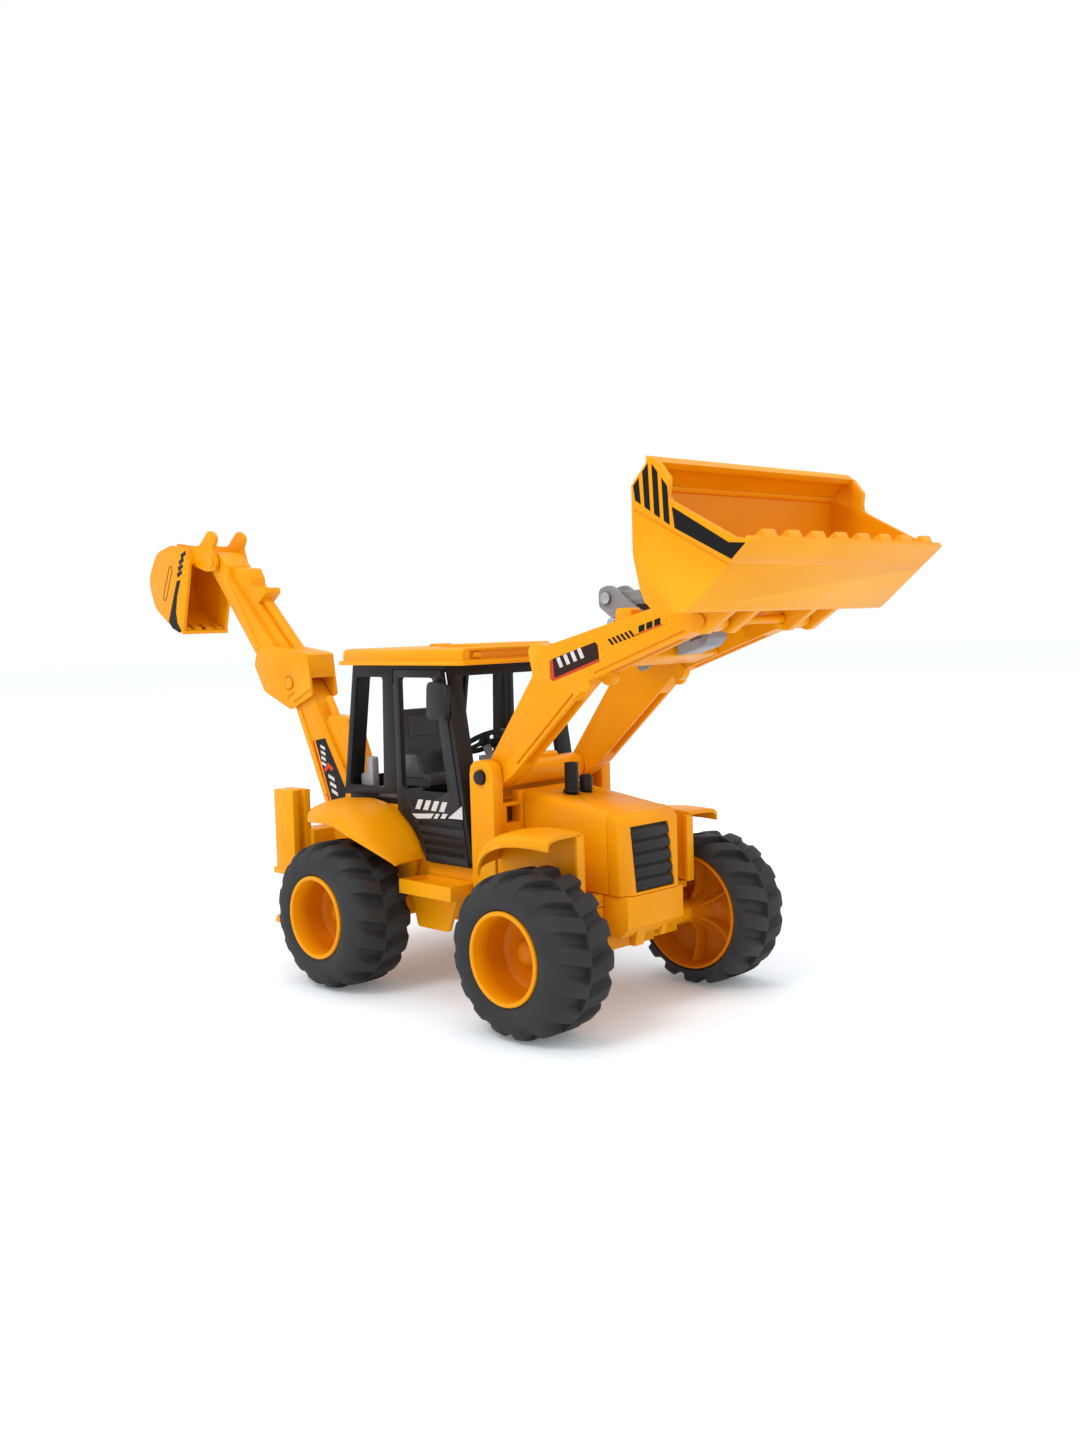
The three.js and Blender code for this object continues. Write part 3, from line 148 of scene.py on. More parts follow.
def plastic(name, base, deep, worn, roughness, grain=0.05, gloss=0.2, grain_scale=2600):
    """Moulded plastic: flow marks in the colour, paler worn edges, fine grain and uneven gloss."""
    made, tree, shader = new_material(name)
    flow = ramp(tree, noise(tree, 26, 3, (1, 1, 2.2)), 0.35, 0.7, 0, 1)
    colour = mix(tree, flow, base, deep)
    geometry = tree.nodes.new("ShaderNodeNewGeometry")
    edge = ramp(tree, geometry.outputs["Pointiness"], 0.53, 0.62, 0, 0.4)
    colour = mix(tree, edge, colour, worn)
    tree.links.new(colour, shader.inputs["Base Color"])
    patchy = ramp(tree, noise(tree, 60, 4), 0.3, 0.75, roughness - 0.05, roughness + 0.07)
    tree.links.new(patchy, shader.inputs["Roughness"])
    bump = tree.nodes.new("ShaderNodeBump")
    bump.inputs["Strength"].default_value = grain
    bump.inputs["Distance"].default_value = 0.0004
    tree.links.new(noise(tree, grain_scale, 2), bump.inputs["Height"])
    tree.links.new(bump.outputs["Normal"], shader.inputs["Normal"])
    shader.inputs["Specular IOR Level"].default_value = gloss
    return made


def paint_dish_shade(made, colour, bottom, top):
    """Paints shade into a recess: the plastic's colour goes over to a darker painted shade colour inwards,
    plain at |y| of top and beyond, the shade colour at |y| of bottom and within, both y in millimetres.
    """
    tree = made.node_tree
    shader = tree.nodes["Principled BSDF"]
    plain = shader.inputs["Base Color"].links[0].from_socket
    where = tree.nodes.new("ShaderNodeTexCoord")
    split = tree.nodes.new("ShaderNodeSeparateXYZ")
    tree.links.new(where.outputs["Object"], split.inputs["Vector"])
    width = tree.nodes.new("ShaderNodeMath")
    width.operation = "ABSOLUTE"
    tree.links.new(split.outputs["Y"], width.inputs[0])
    # Painted shade: share of the plain colour, 0 deep in the recess and 1 out at the lip.
    unshaded_share = ramp(tree, width.outputs["Value"], bottom * MM, top * MM, 0, 1)
    tree.links.new(mix(tree, unshaded_share, colour, plain), shader.inputs["Base Color"])


def sticker(name, colour, roughness=0.35):
    """Printed vinyl: thin ink with a slightly uneven tone under a smooth film."""
    made, tree, shader = new_material(name)
    tone = ramp(tree, noise(tree, 900, 3), 0.3, 0.7, 0, 1)
    darker = tuple(0.8 * c for c in colour)
    tree.links.new(mix(tree, tone, colour, darker), shader.inputs["Base Color"])
    gloss = ramp(tree, noise(tree, 140, 2), 0.3, 0.7, roughness - 0.06, roughness + 0.08)
    tree.links.new(gloss, shader.inputs["Roughness"])
    shader.inputs["Specular IOR Level"].default_value = 0.15
    return made


def metal(name, colour, roughness):
    """Drawn steel pin with fine lines round it."""
    made, tree, shader = new_material(name)
    lines = ramp(tree, noise(tree, 900, 3, (1, 6, 1)), 0.3, 0.7, 0, 1)
    tree.links.new(mix(tree, lines, colour, tuple(0.75 * c for c in colour)), shader.inputs["Base Color"])
    tree.links.new(ramp(tree, lines, 0, 1, roughness, roughness + 0.15), shader.inputs["Roughness"])
    shader.inputs["Metallic"].default_value = 1.0
    return made


def yellow(name):
    """The toy's orange-yellow plastic."""
    return plastic(name, (0.85, 0.325, 0.0), (0.8, 0.29, 0.0), (0.95, 0.45, 0.015), 0.38, 0.05, 0.15)


YELLOW = yellow("yellow_plastic")
BLACK = plastic("black_plastic", (0.014, 0.013, 0.013), (0.009, 0.009, 0.009), (0.05, 0.05, 0.05), 0.4)
TYRE = plastic("tyre_plastic", (0.036, 0.036, 0.037), (0.026, 0.026, 0.027), (0.07, 0.07, 0.07), 0.6,
               0.16, 0.15, 1700)
# Hub plastic; its dish and barrel get painted shade below.
HUB = yellow("hub_plastic_painted_dish_shade")
GREY = plastic("grey_plastic", (0.25, 0.25, 0.26), (0.2, 0.2, 0.21), (0.45, 0.45, 0.46), 0.38)
DARK_GREY = plastic("dark_grey_plastic", (0.12, 0.12, 0.125), (0.09, 0.09, 0.095), (0.22, 0.22, 0.22), 0.32)
LIGHT_GREY = plastic("light_grey_plastic", (0.36, 0.36, 0.37), (0.3, 0.3, 0.31), (0.5, 0.5, 0.5), 0.42)
STEEL = metal("steel", (0.5, 0.5, 0.52), 0.3)

# Painted shade in the hubs: the dish and barrel go over to dark orange inwards from the outer lip, standing
# in for their self-shadow.
PAINTED_DISH_SHADE = (0.6, 0.17, 0.0)
paint_dish_shade(HUB, PAINTED_DISH_SHADE, TYRE_OUT - 9, TYRE_OUT - 1.5)

MATERIALS = {
    "yellow_plastic": YELLOW,
    "black_plastic": BLACK,
    "tyre": TYRE,
    "grey_plastic": GREY,
    "dark_grey_plastic": DARK_GREY,
    "light_grey_plastic": LIGHT_GREY,
    "steel": STEEL,
}

# ---------------------------------------------------------------- CAD nodes


def smooth_by_angle():
    """Node group that shades faces smooth and keeps sharp edges."""
    group = bpy.data.node_groups.new("smooth_by_angle", "GeometryNodeTree")
    group.interface.new_socket("Geometry", in_out="INPUT", socket_type="NodeSocketGeometry")
    group.interface.new_socket("Geometry", in_out="OUTPUT", socket_type="NodeSocketGeometry")
    start = group.nodes.new("NodeGroupInput")
    end = group.nodes.new("NodeGroupOutput")
    faces = group.nodes.new("GeometryNodeSetShadeSmooth")
    edges = group.nodes.new("GeometryNodeSetShadeSmooth")
    edges.domain = "EDGE"
    edges.inputs["Shade Smooth"].default_value = False
    angle = group.nodes.new("GeometryNodeInputMeshEdgeAngle")
    sharp = group.nodes.new("FunctionNodeCompare")
    sharp.operation = "GREATER_THAN"
    sharp.inputs["B"].default_value = SHARP
    link = group.links.new
    link(start.outputs[0], faces.inputs["Geometry"])
    link(faces.outputs[0], edges.inputs["Geometry"])
    link(angle.outputs["Unsigned Angle"], sharp.inputs["A"])
    link(sharp.outputs[0], edges.inputs["Selection"])
    link(edges.outputs[0], end.inputs[0])
    return group


SMOOTH = smooth_by_angle()


def mould(piece, edge):
    """Rounds a piece's edges by a radius in millimetres, as a moulding has them."""
    weld = piece.modifiers.new("weld", "WELD")
    weld.merge_threshold = 2e-6
    flat = piece.modifiers.new("flat", "DECIMATE")
    flat.decimate_type = "DISSOLVE"
    flat.angle_limit = math.radians(0.6)
    bevel = piece.modifiers.new("edge", "BEVEL")
    bevel.width = edge * MM
    bevel.segments = 2
    bevel.limit_method = "ANGLE"
    bevel.angle_limit = SHARP
    bevel.miter_outer = "MITER_ARC"
    smooth = piece.modifiers.new("smooth", "NODES")
    smooth.node_group = SMOOTH


# Edge radii in millimetres where they differ from the usual one.
EDGES = {"cab_roof": 0.8, "hood": 0.5, "nose": 0.5, "tilt_cylinder": 0.3, "grille": 0.2,
         "backhoe_bucket": 0.08}
USUAL_EDGE = 0.35

for node, piece in NODES.items():
    piece.data.materials.clear()
    piece.data.materials.append(MATERIALS[SLOT_OF[node]])
    mould(piece, EDGES.get(node, USUAL_EDGE))

# ---------------------------------------------------------------- mesh helpers


def add_piece(name, mesh, replaced, material=None):
    """Makes a mesh object that stands for CAD nodes and rides on their body."""
    piece = bpy.data.objects.new(name, mesh)
    bpy.context.scene.collection.objects.link(piece)
    slot = SLOT_OF[replaced[0]]
    mesh.materials.append(material or MATERIALS[slot])
    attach(piece, BODY_OF[replaced[0]])
    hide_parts(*replaced)
    return piece


def mesh_from(name, points, faces, smooth=True):
    """Mesh of points and faces, with its faces turned outward."""
    mesh = bpy.data.meshes.new(name)
    mesh.from_pydata([tuple(p) for p in points], [], faces)
    mesh.validate()
    for face in mesh.polygons:
        face.use_smooth = smooth
    made = bmesh.new()
    made.from_mesh(mesh)
    bmesh.ops.recalc_face_normals(made, faces=made.faces)
    made.to_mesh(mesh)
    made.free()
    return mesh


def grid_faces(rows, columns, close_rows=False, close_columns=False, first=0):
    """Quads of a grid of points, numbered row by row."""
    faces = []
    for i in range(rows if close_rows else rows - 1):
        for j in range(columns if close_columns else columns - 1):
            a, b = i * columns, ((i + 1) % rows) * columns
            k = (j + 1) % columns
            faces.append((first + a + j, first + a + k, first + b + k, first + b + j))
    return faces


def ring_mesh(profile, count, centre, side):
    """Turns an open profile of (radius, y) round a wheel's axle."""
    points = []
    for r, y in profile:
        for k in range(count):
            turn = 2 * math.pi * k / count
            points.append(place(centre + r * math.sin(turn), side * y, AXLE_HEIGHT - r * math.cos(turn)))
    return points, grid_faces(len(profile), count, False, True)


def arc(centre, radius, start, end, steps):
    """Points of an arc, angles in degrees."""
    angles = [math.radians(start + (end - start) * k / steps) for k in range(steps + 1)]
    return [(centre[0] + radius * math.cos(a), centre[1] + radius * math.sin(a)) for a in angles]


# ---------------------------------------------------------------- wheels

LUGS = 16
PITCH = 2 * math.pi / LUGS
# One lug across the pitch: steep flank, flat top, gentle flank and a groove, as shares of the pitch.
STEEP, TOP_END, GENTLE_END = 0.06, 0.5, 0.7
BETWEEN_EDGES = [0.2, 0.33, 0.44, 0.9]  # further grid columns, as shares of the pitch
LEAN = -0.3  # how far the lugs lean round the tyre for each millimetre across it
CROWN = (TYRE_IN + TYRE_OUT) / 2  # middle of the tread


def tyre_section():
    """Rows from the outer bead over the tread to the inner bead and back through the bore.

    Each is a radius and y of the carcass, those over a lug, and how much of the outer and inner lugs
    is there."""
    o, i, m = TYRE_OUT, TYRE_IN, CROWN
    rows = []

    def row(r, y, lug_r=None, lug_y=None, outer=0.0, inner=0.0):
        rows.append((r, y, r if lug_r is None else lug_r, y if lug_y is None else lug_y, outer, inner))

    side_wall = ((18.9, o - 8), (19.1, o - 2.4), (19.6, o - 1.2), (20.8, o - 0.5), (22.6, o - 0.1),
                 (24.4, o), (26, o - 0.2))
    for r, y in side_wall:
        row(r, y)
    row(27.6, o - 0.7, 27.8, o - 0.5, 1)
    row(29.1, o - 1.6, 29.5, o - 1.2, 1)
    row(30.4, o - 2.9, 31.1, o - 2.4, 1)
    row(31.1, o - 4.4, 32.4, o - 3.9, 1)
    row(31.3, o - 6.4, 33.3, o - 5.8, 1)
    row(31.3, o - 8.6, 33.8, o - 8.2, 1)
    row(31.2, m + 5.0, 34.0, m + 5.0, 1)
    row(31.2, m + 1.3, 34.0, m + 1.3, 1, 0)
    row(31.2, m + 0.8, 33.9, m + 0.8, 1, 0.05)
    row(31.2, m + 0.3, 33.9, m + 0.3, 1, 0.95)
    row(31.2, m - 0.3, 33.9, m - 0.3, 0.95, 1)
    row(31.2, m - 0.8, 33.9, m - 0.8, 0.05, 1)
    row(31.2, m - 1.3, 34.0, m - 1.3, 0, 1)
    row(31.2, m - 5.0, 34.0, m - 5.0, 0, 1)
    row(31.2, i + 8.0, 33.9, i + 7.6, 0, 1)
    row(31.0, i + 5.6, 33.7, i + 4.8, 0, 1)
    row(30.5, i + 3.8, 33.0, i + 2.8, 0, 1)
    row(29.8, i + 2.4, 31.6, i + 1.4, 0, 1)
    row(29.0, i + 1.3, 29.9, i + 0.7, 0, 1)
    bore = ((28.2, i + 0.5), (27.4, i + 0.2), (26.8, i + 0.5), (26.5, i + 1.4), (26.5, o - 12.6),
            (22, o - 9))
    for r, y in bore:
        row(r, y)
    return rows


def lug_height(angle, phase):
    """0 in a groove, 1 on a lug's top."""
    u = (angle / PITCH - phase) % 1
    if u < STEEP:
        return u / STEEP
    if u < TOP_END:
        return 1.0
    return max((GENTLE_END - u) / (GENTLE_END - TOP_END), 0)


def tyre_columns():
    """Angles of the grid columns: at the edges of both rows of lugs and between them."""
    edges = [0, STEEP, TOP_END, GENTLE_END]
    shares = {round((u + half) % 1, 4) for u in edges + BETWEEN_EDGES for half in (0, 0.5)}
    return [(k + u) * PITCH for k in range(LUGS) for u in sorted(shares)]


def tyre(end, x, side_name, side):
    """Tyre with two rows of slanted lugs, half a pitch apart."""
    node = f"{end}_tyre_{side_name}"
    angles = tyre_columns()
    points = []
    for r, y, lug_r, lug_y, outer, inner in tyre_section():
        lean = (6 - abs(lug_y - CROWN)) * LEAN / TYRE_R
        for angle in angles:
            h = max(outer * lug_height(angle, 0), inner * lug_height(angle, 0.5))
            radius = r + (lug_r - r) * h
            turn = angle + lean
            points.append(place(x + radius * math.sin(turn), side * (y + (lug_y - y) * h),
                                AXLE_HEIGHT - radius * math.cos(turn)))
    rows = len(points) // len(angles)
    mesh = mesh_from(node, points, grid_faces(rows, len(angles), True, True))
    piece = add_piece(node + "_moulded", mesh, [node])
    piece.modifiers.new("smooth", "NODES").node_group = SMOOTH
    return piece


def hub_profile():
    """Open line of the hub's section, from the middle of its outer face to the middle of its inner boss."""
    o, i = TYRE_OUT, TYRE_IN
    cap = [(0.01, o - 12.4), (2.6, o - 12.6), (4.4, o - 13.2), (5.4, o - 14.2), (6.0, o - 15.4),
           (7.2, o - 16.6)]
    face = [(9.5, o - 17.2), (12.3, o - 17.2), (14.2, o - 16.9), (15.3, o - 16.0), (15.8, o - 14.4)]
    barrel = [(16.5, o - 8), (17.0, o - 2.6), (17.3, o - 1.3)]
    lip = arc((18.3, o - 1.0), 1.0, 175, -20, 8)
    seat = [(19.2, o - 2.4), (19.3, o - 5.2), (26.2, o - 12.4)]
    rim = [(26.2, i + 1.2), (26.0, i + 0.4), (25.4, i + 0.1), (24.8, i + 0.4), (24.4, i + 1.4),
           (23.6, i + 9.6), (22.8, i + 11.6), (20.8, i + 12.7)]
    dish = [(12.5, i + 12.6), (10.2, i + 11.6), (8.2, i + 9.6), (6.2, i + 6), (5.2, i + 2), (5, i - 0.1),
            (4.6, i - 0.4), (2.9, i - 0.4), (2.8, i + 8)]
    return cap + face + barrel + lip + seat + rim + dish + [(0.01, i + 8)]


RIBS = 6
HUB_COLUMNS = 72


def hub(end, x, side_name, side):
    """Turned hub with a deep outer dish and ribs in its inner one."""
    node = f"{end}_hub_{side_name}"
    points, faces = ring_mesh(hub_profile(), HUB_COLUMNS, x, side)
    made = bmesh.new()
    rim = mesh_from(node, points, faces)
    made.from_mesh(rim)
    bmesh.ops.remove_doubles(made, verts=made.verts, dist=0.02 * MM)
    for k in range(RIBS):
        rib(made, x, side, 2 * math.pi * k / RIBS)
    bmesh.ops.recalc_face_normals(made, faces=made.faces)
    made.to_mesh(rim)
    made.free()
    for face in rim.polygons:
        face.use_smooth = True
    piece = add_piece(node + "_moulded", rim, [node], HUB)
    piece.modifiers.new("smooth", "NODES").node_group = SMOOTH
    return piece


def rib(made, x, side, turn):
    """One of the ribs of the hub's inner dish: a fin that sweeps from the boss out to the rim."""
    i = TYRE_IN
    crest = [(5, i + 3.4), (9, i + 6.2), (12, i + 7.4), (16, i + 7.2), (20, i + 5.6), (24.1, i + 3.2)]
    rows = []
    for r, y in crest:
        across = []
        for offset, drop in ((-1.5, 8.5), (-0.9, 1.2), (-0.45, 0.15), (0.45, 0.15), (0.9, 1.2), (1.5, 8.5)):
            across.append((r, offset, min(y + drop, i + 13.6)))
        rows.append(across)
    vertices = []
    for across in rows:
        for r, offset, y in across:
            px = r * math.sin(turn) + offset * math.cos(turn)
            pz = r * math.cos(turn) - offset * math.sin(turn)
            vertices.append(made.verts.new(place(x + px, side * y, AXLE_HEIGHT + pz)))
    n = 6
    for a in range(len(rows) - 1):
        for b in range(n):
            c = (b + 1) % n
            made.faces.new((vertices[a * n + b], vertices[a * n + c], vertices[(a + 1) * n + c],
                            vertices[(a + 1) * n + b]))
    made.faces.new(vertices[:n])
    made.faces.new(list(reversed(vertices[-n:])))


for end, x in (("front", 0), ("rear", (middle("rear_axle").x - FRONT_AXLE.x) / MM)):
    for side_name, side in (("left", 1), ("right", -1)):
        tyre(end, x, side_name, side)
        hub(end, x, side_name, side)

# ---------------------------------------------------------------- mudguards


def bend(a, b, c, t):
    """Point of the smooth curve that leaves a towards b and arrives at c."""
    return [(1 - t) ** 2 * p + 2 * t * (1 - t) * q + t * t * r for p, q, r in zip(a, b, c)]


def prism(outline, y0, y1):
    """Points and faces of a side-view outline, [x, z], carried from y0 to y1."""
    n = len(outline)
    points = [place(x, y, z) for y in (y0, y1) for x, z in outline]
    faces = [(k, (k + 1) % n, n + (k + 1) % n, n + k) for k in range(n)]
    return points, faces + [tuple(range(n)), tuple(range(n, 2 * n))]


def joined(*parts):
    """Points and faces of several shells as one."""
    points, faces = [], []
    for more, theirs in parts:
        faces += [tuple(k + len(points) for k in face) for face in theirs]
        points += more
    return points, faces


def shell(rings):
    """Points and faces of a closed skin through rings of points, with flat ends."""
    points = [p for ring in rings for p in ring]
    n = len(rings[0])
    faces = grid_faces(len(rings), n, False, True)
    return points, faces + [tuple(range(n)), tuple(range(len(points) - n, len(points)))]


def front_fender(side_name, side):
    """Shelf that rises from the tower and runs forward over the tyre, and the wall beside the hood."""
    node = f"front_fender_{side_name}"
    top = [(35, -0.2), (39, 0), (44, 0), (48.5, -0.2), (51.6, -0.6), (53.4, -1.3), (54.5, -2.3),
           (54.9, -3.4), (55, -6)]
    under = [(53.8, -6), (53.6, -4.4), (53, -3.2), (51.6, -2.5), (48.5, -2), (44, -1.8), (39, -1.7),
             (35, -1.9)]
    rings = []
    crest = []
    steps = 30
    for k in range(steps + 1):
        t = k / steps
        x, z = bend((-40.6, 67), (-37, 84), (8, 81), t)
        crest.append((x, z - 0.5))
        ring = [place(x + (1 - t) * (y - 36) * 0.35, side * y, z + drop) for y, drop in top]
        ring += [place(x + (1 - t) * ((y - 36) * 0.35 + 1.2), side * y, z + drop) for y, drop in under]
        rings.append(ring)
    wall = [(-40.6, 50.1), (7, 50.3), *((x, z) for x, z in reversed(crest) if x < 7)]
    inner = prism(wall, side * 34.6, side * 36.6)
    edge = prism([(6, 50.1), (8, 50.1), (8, 79.6), (6, 79.7)], side * 33, side * 37.4)
    piece = add_piece(node + "_moulded", mesh_from(node, *joined(shell(rings), inner, edge)), [node])
    mould(piece, 0.3)
    return piece


ARCH = (-128, 44)  # centre of the rear mudguard's arch
ARCH_R = 41.5
CAB_WALL = 36.8  # y of the wall that carries the rear mudguard


def arch_point(angle, r=ARCH_R):
    """A point of the arch: round in front, nearly level behind its highest point."""
    x = ARCH[0] + r * math.cos(math.radians(angle))
    behind = ARCH[0] - x
    return x, ARCH[1] + (r - 0.06 * behind if behind > 0 else r * math.sin(math.radians(angle)))


def rear_fender(side_name, side):
    """Arch over the rear tyre whose top bends down to an outer lip, with the wall beside the cab."""
    node = f"rear_fender_{side_name}"
    top = [(CAB_WALL, 0), (42, -0.1), (47, -0.4), (52, -0.8), (56.5, -1.4), (60, -2.2), (62.8, -3.2),
           (64.8, -4.6), (65.8, -6.2), (66, -9)]
    under = [(64.6, -9), (64.2, -6.8), (63.2, -5.2), (61, -4.1), (57.5, -3.2), (53, -2.5), (48, -2.1),
             (42, -1.8), (CAB_WALL, -1.7)]
    rings = []
    steps = 36
    for k in range(steps + 1):
        t = k / steps
        x, z = arch_point(118 + (23 - 118) * t)
        fall = max(0.15, min(1, (z - 58) / 24))
        reach = 1 - 0.42 * max(0, (t - 0.55) / 0.45) ** 2 - 0.2 * max(0, 1 - t / 0.3) ** 2
        inward = Vector((ARCH[0] - x, ARCH[1] - z)).normalized()
        ring = [place(x, side * (CAB_WALL + (y - CAB_WALL) * reach), z + drop * fall) for y, drop in top]
        for y, drop in under:
            ring.append(place(x + inward.x * 1.7, side * (CAB_WALL + (y - CAB_WALL) * reach),
                              z + (drop + 1.7) * fall + inward.y * 1.7))
        rings.append(ring)
    arch = [arch_point(32.5 + (118 - 32.5) * k / 24, ARCH_R - 1) for k in range(25)]
    outline = [(-149, 47), (-142.5, 47), (-139, 62), (-126, 68), (-112, 64.5), (-104, 47), (-99.5, 47), *arch,
               (-149, 82.4)]
    skirt = prism(outline, side * 34, side * 37.2)
    piece = add_piece(node + "_moulded", mesh_from(node, *joined(shell(rings), skirt)), [node])
    mould(piece, 0.3)
    return piece


for side_name, side in (("left", 1), ("right", -1)):
    front_fender(side_name, side)
    rear_fender(side_name, side)

# ---------------------------------------------------------------- stickers

INK = sticker("black_ink", (0.006, 0.005, 0.005))
WHITE_INK = sticker("white_ink", (0.7, 0.68, 0.66))
RED_INK = sticker("red_ink", (0.62, 0.06, 0.012))
BROWN_INK = sticker("brown_ink", (0.032, 0.01, 0.007))

# How far out from the middle the flat sides with stickers are.
BUCKET_SIDE = 63
ARM_SIDE = 31
DOOR_SIDE = 36.6
BOOM_SIDE = 6.2
SCOOP_SIDE = 15


def decal(name, outlines, face, body, material, height=0.12):
    """Printed shapes, side-view outlines, on both flat sides of a body. face is how far out they are.

    A body name may hold SIDE, which becomes left or right."""
    for side_name, side in (("left", 1), ("right", -1)):
        shapes = [prism(outline, side * (face - 0.05), side * (face + height)) for outline in outlines]
        mesh = mesh_from(f"{name}_{side_name}", *joined(*shapes), smooth=False)
        mesh.materials.append(material)
        piece = bpy.data.objects.new(f"{name}_{side_name}", mesh)
        bpy.context.scene.collection.objects.link(piece)
        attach(piece, body.replace("SIDE", side_name))


def slanted(x, z, width, height, lean):
    """A bar whose foot is at (x, z) and whose top is shifted back by lean."""
    return [(x, z), (x + width, z), (x + width - lean, z + height), (x - lean, z + height)]


def turned(outline, pivot, degrees):
    """A side-view outline turned about a point, positive from forward to up."""
    c, s = math.cos(math.radians(degrees)), math.sin(math.radians(degrees))
    px, pz = pivot
    return [(px + (x - px) * c - (z - pz) * s, pz + (x - px) * s + (z - pz) * c) for x, z in outline]


def bucket_stripes():
    """Four slanted stripes in the top rear corner of a loader bucket's side."""
    stripes = []
    for k in range(4):
        left, right = 65.4 + 4.4 * k, 68.0 + 4.4 * k

        def top(x):
            return min(214.6 + (x - 65.6) * 1.05, 221.2 - (x - 74.4) * 1.2)

        stripes.append([(left, top(left)), (right, top(right)), (right + 0.8, 207.6 - (right - 68) * 0.62),
                        (left + 0.8, 209.2 - (right - 68) * 0.62)])
    return stripes


decal("bucket_stripes", bucket_stripes(), BUCKET_SIDE, "loader_bucket", INK)
bucket_band = [(83.1, 205.7), (107.6, 191.9), (114.6, 191.4), (108.6, 186.2), (84.2, 198.2)]
decal("bucket_band", [bucket_band], BUCKET_SIDE, "loader_bucket", INK)

PLATE = [(-9.3, 151.3), (15, 158.1), (16.4, 156.8), (17, 151.4), (-8.4, 143.4)]
PLATE_BORDER = [(-11.2, 150.4), (-9.3, 151.3), (-8.4, 143.4), (17, 151.4), (17.4, 150.2), (-9.2, 142),
                (-11, 143)]
decal("arm_plate", [PLATE], ARM_SIDE, "loader_arms", BROWN_INK)
decal("arm_plate_border", [PLATE_BORDER], ARM_SIDE, "loader_arms", RED_INK, 0.08)
plate_bars = [turned(slanted(-5 + 4.2 * k, 147.6, 2, 4.4, 0.8), (-5, 147.6), 17) for k in range(4)]
decal("arm_plate_bars", plate_bars, ARM_SIDE + 0.1, "loader_arms", WHITE_INK)
hash_marks = [turned(slanted(24.2 + 2.3 * k, 156.8, 1.2, 2.9, 1.6), (24.2, 156.8), 15.5) for k in range(6)]
blocks = [turned(slanted(38.4 + 4.2 * k, 161.6, 3.2, 2.4, -0.7), (38.4, 161.6), 15.5) for k in range(3)]
decal("arm_hash_marks", hash_marks + blocks, ARM_SIDE, "loader_arms", INK)
decal("arm_underline", [turned(slanted(36.6, 160.3, 14.6, 0.5, 0), (36.6, 160.3), 16)], ARM_SIDE,
      "loader_arms", RED_INK)

chevrons = [slanted(-95.4 + 5.6 * k, 82.6, 3.4, 4.6, -2.6) for k in range(4)]
foot_bars = [[(-94.3, 78.2), (-84.5, 79), (-82, 81.4), (-97.8, 80.2)],
             slanted(-82.6, 79.2, 2.6, 2.3, -2), slanted(-77.8, 79.6, 3.2, 2.3, -2)]
arrow = [(-72.6, 80), (-62.6, 80.2), (-62.8, 86.2)]
decal("door_marks", chevrons + foot_bars + [arrow], DOOR_SIDE, "door_SIDE",
      WHITE_INK)

BOOM_STRIP = [(-214.2, 106.8), (-205.4, 108.4), (-188.6, 82), (-190, 76.4), (-201.4, 74.7)]
BOOM_EDGE = [(-216.9, 106.6), (-215.6, 106.8), (-202.8, 74.6), (-204.2, 74.5)]
decal("boom_strip", [BOOM_STRIP], BOOM_SIDE, "boom", INK)
decal("boom_edge", [BOOM_EDGE], BOOM_SIDE, "boom", RED_INK)
boom_bars = [turned(slanted(-209.6 + 0.2 * k, 103.2 - 2.9 * k, 4.2, 1.5, 0.6),
                    (-209.6, 103.2 - 2.9 * k), -18) for k in range(4)]
long_bars = [turned(slanted(-203.4 + 1.3 * k, 87.6 - 3.4 * k, 5.6, 1.7, 0.8),
                    (-203.4, 87.6 - 3.4 * k), -20) for k in range(3)]
decal("boom_bars", boom_bars + long_bars, BOOM_SIDE + 0.1, "boom", WHITE_INK)
flash = [(-207.4, 91.4), (-203.6, 95.6), (-198.6, 92.6), (-200.6, 91), (-203.6, 92.8), (-205.2, 90.4)]
decal("boom_flash", [flash], BOOM_SIDE + 0.1, "boom", RED_INK)

scoop_band = [(-334.2, 196.4), (-329.8, 197), (-334.4, 188), (-336.6, 178.6), (-335.6, 172.2), (-331.2, 167),
              (-333.8, 166.2), (-341.4, 169), (-345.2, 173), (-338.9, 186.5)]
hazard = [[(x, z), (x + 5.2, z + 2.2), (x + 4.6, z + 4.4), (x - 0.6, z + 2.4)]
          for x, z in ((-333 + 1.35 * k + 0.35 * k * (k > 2), 198.4 + 3.6 * k) for k in range(4))]
decal("scoop_band", [scoop_band, *hazard], SCOOP_SIDE, "backhoe_bucket", INK)


def oblong_ring(start, end, half, width):
    """A narrow outline with round ends, as a row of short bars."""
    run = Vector((end[0] - start[0], end[1] - start[1]))
    heading = math.degrees(math.atan2(run.y, run.x))
    outer = arc(end, half, heading - 90, heading + 90, 8) + arc(start, half, heading + 90, heading + 270, 8)
    inner = arc(end, half - width, heading - 90, heading + 90, 8)
    inner += arc(start, half - width, heading + 90, heading + 270, 8)
    n = len(outer)
    return [[outer[k], outer[(k + 1) % n], inner[(k + 1) % n], inner[k]] for k in range(n)]


badge = oblong_ring((-348.4, 187.4), (-340.6, 203.6), 2, 0.5)
decal("scoop_badge", badge, SCOOP_SIDE, "backhoe_bucket", INK)


# ---------------------------------------------------------------- studio


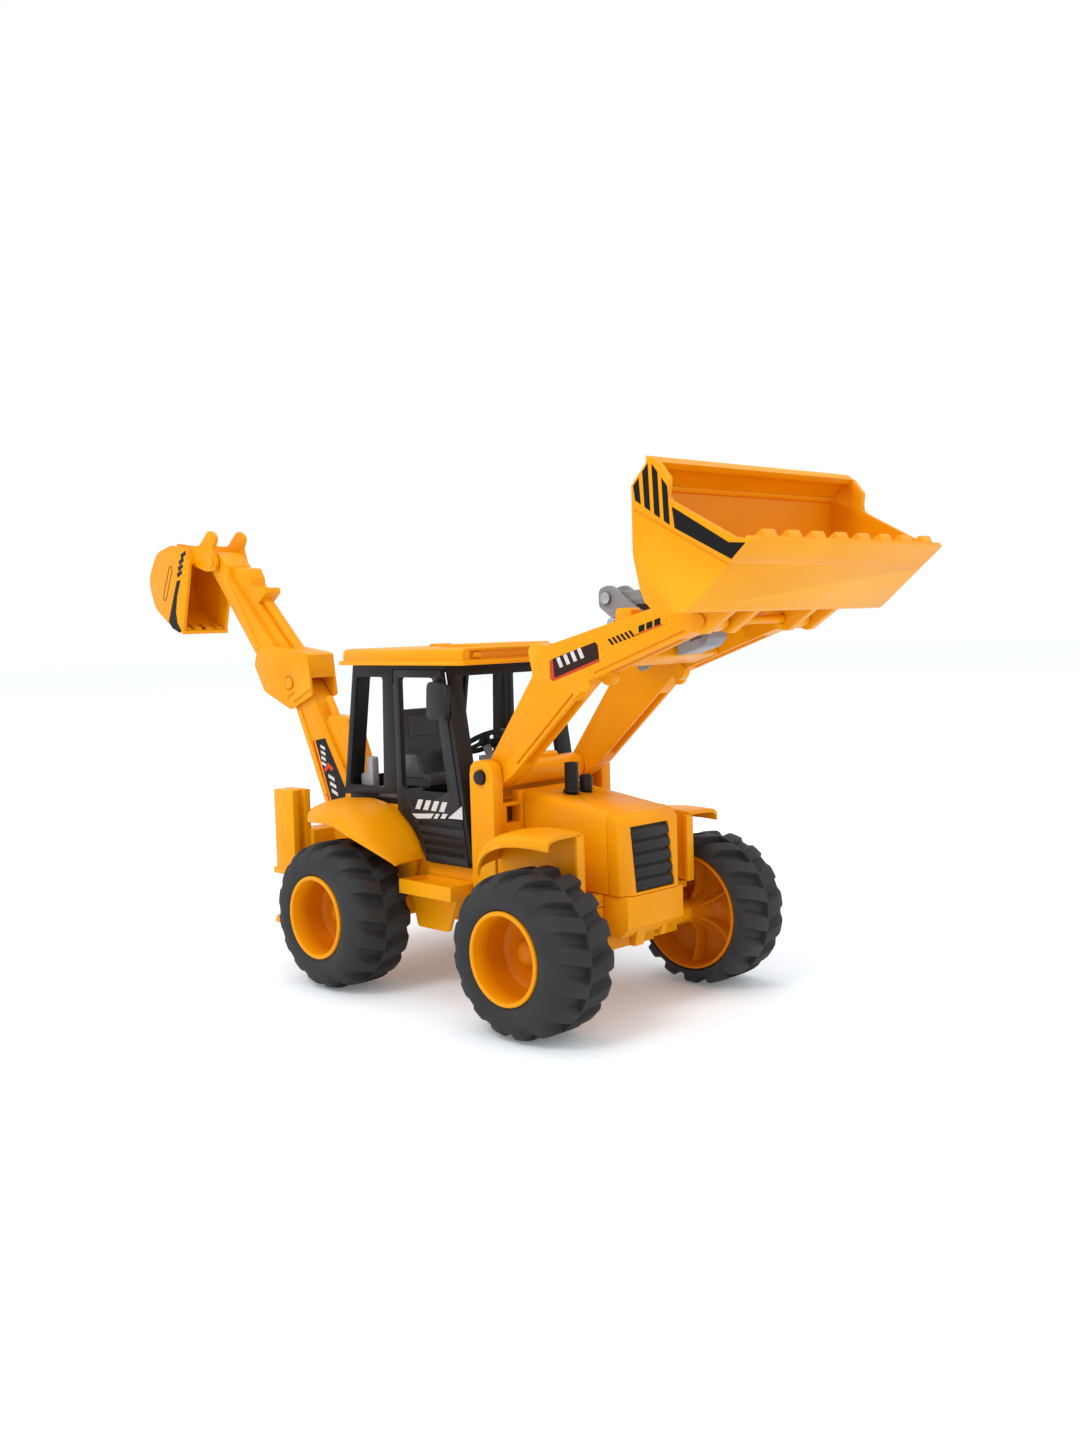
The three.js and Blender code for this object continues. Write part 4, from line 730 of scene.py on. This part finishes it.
def studio():
    """Pale floor, white surroundings and two soft lamps."""
    floor_mesh = bpy.data.meshes.new("floor")
    made = bmesh.new()
    bmesh.ops.create_grid(made, x_segments=1, y_segments=1, size=6)
    made.to_mesh(floor_mesh)
    floor = bpy.data.objects.new("floor", floor_mesh)
    floor.location.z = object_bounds()[0][2] - 0.0001
    bpy.context.scene.collection.objects.link(floor)
    paint, tree, shader = new_material("floor")
    shader.inputs["Base Color"].default_value = (0.84, 0.9, 0.95, 1)
    shader.inputs["Roughness"].default_value = 0.8
    shader.inputs["Specular IOR Level"].default_value = 0.1
    shader.inputs["Emission Color"].default_value = (1, 1, 1, 1)
    shader.inputs["Emission Strength"].default_value = 0.12
    floor.data.materials.append(paint)
    floor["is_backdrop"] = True

    world = bpy.data.worlds.new("studio")
    world.use_nodes = True
    background = world.node_tree.nodes["Background"]
    background.inputs["Color"].default_value = (1, 1, 1, 1)
    background.inputs["Strength"].default_value = 1.0
    bpy.context.scene.world = world

    for name, where, size, watts in (
        ("key", (0.1, -1.2, 1.6), 0.6, 11),
        ("top", (-0.2, 0.2, 1.9), 1.2, 6),
    ):
        light = bpy.data.lights.new(name, "AREA")
        light.size = size
        light.energy = watts
        lamp = bpy.data.objects.new(name, light)
        lamp.location = where
        aim = Vector((0, 0, 0.1)) - lamp.location
        lamp.rotation_euler = aim.to_track_quat("-Z", "Y").to_euler()
        bpy.context.scene.collection.objects.link(lamp)


CAMERA_AT = (0.52121, -0.4405, 0.16782)
LENS = 34.68


def camera():
    """Camera in front of the toy's right side, a little above the bumper and slightly rolled."""
    azimuth, elevation, roll = (math.radians(a) for a in (45.35, 4.09, -1.62))
    back = Vector((math.sin(azimuth) * math.cos(elevation), -math.cos(azimuth) * math.cos(elevation),
                   math.sin(elevation)))
    right = Vector((math.cos(azimuth), math.sin(azimuth), 0))
    up = back.cross(right)
    rolled_right = right * math.cos(roll) + up * math.sin(roll)
    rolled_up = up * math.cos(roll) - right * math.sin(roll)
    turn = Matrix((rolled_right, rolled_up, back)).transposed()
    data = bpy.data.cameras.new("camera")
    data.sensor_fit = "VERTICAL"
    data.sensor_height = 36
    data.lens = LENS
    data.clip_start = 0.01
    made = bpy.data.objects.new("camera", data)
    made.matrix_world = Matrix.Translation(CAMERA_AT) @ turn.to_4x4()
    bpy.context.scene.collection.objects.link(made)
    bpy.context.scene.camera = made


studio()
camera()
bpy.context.scene.view_settings.view_transform = "Standard"
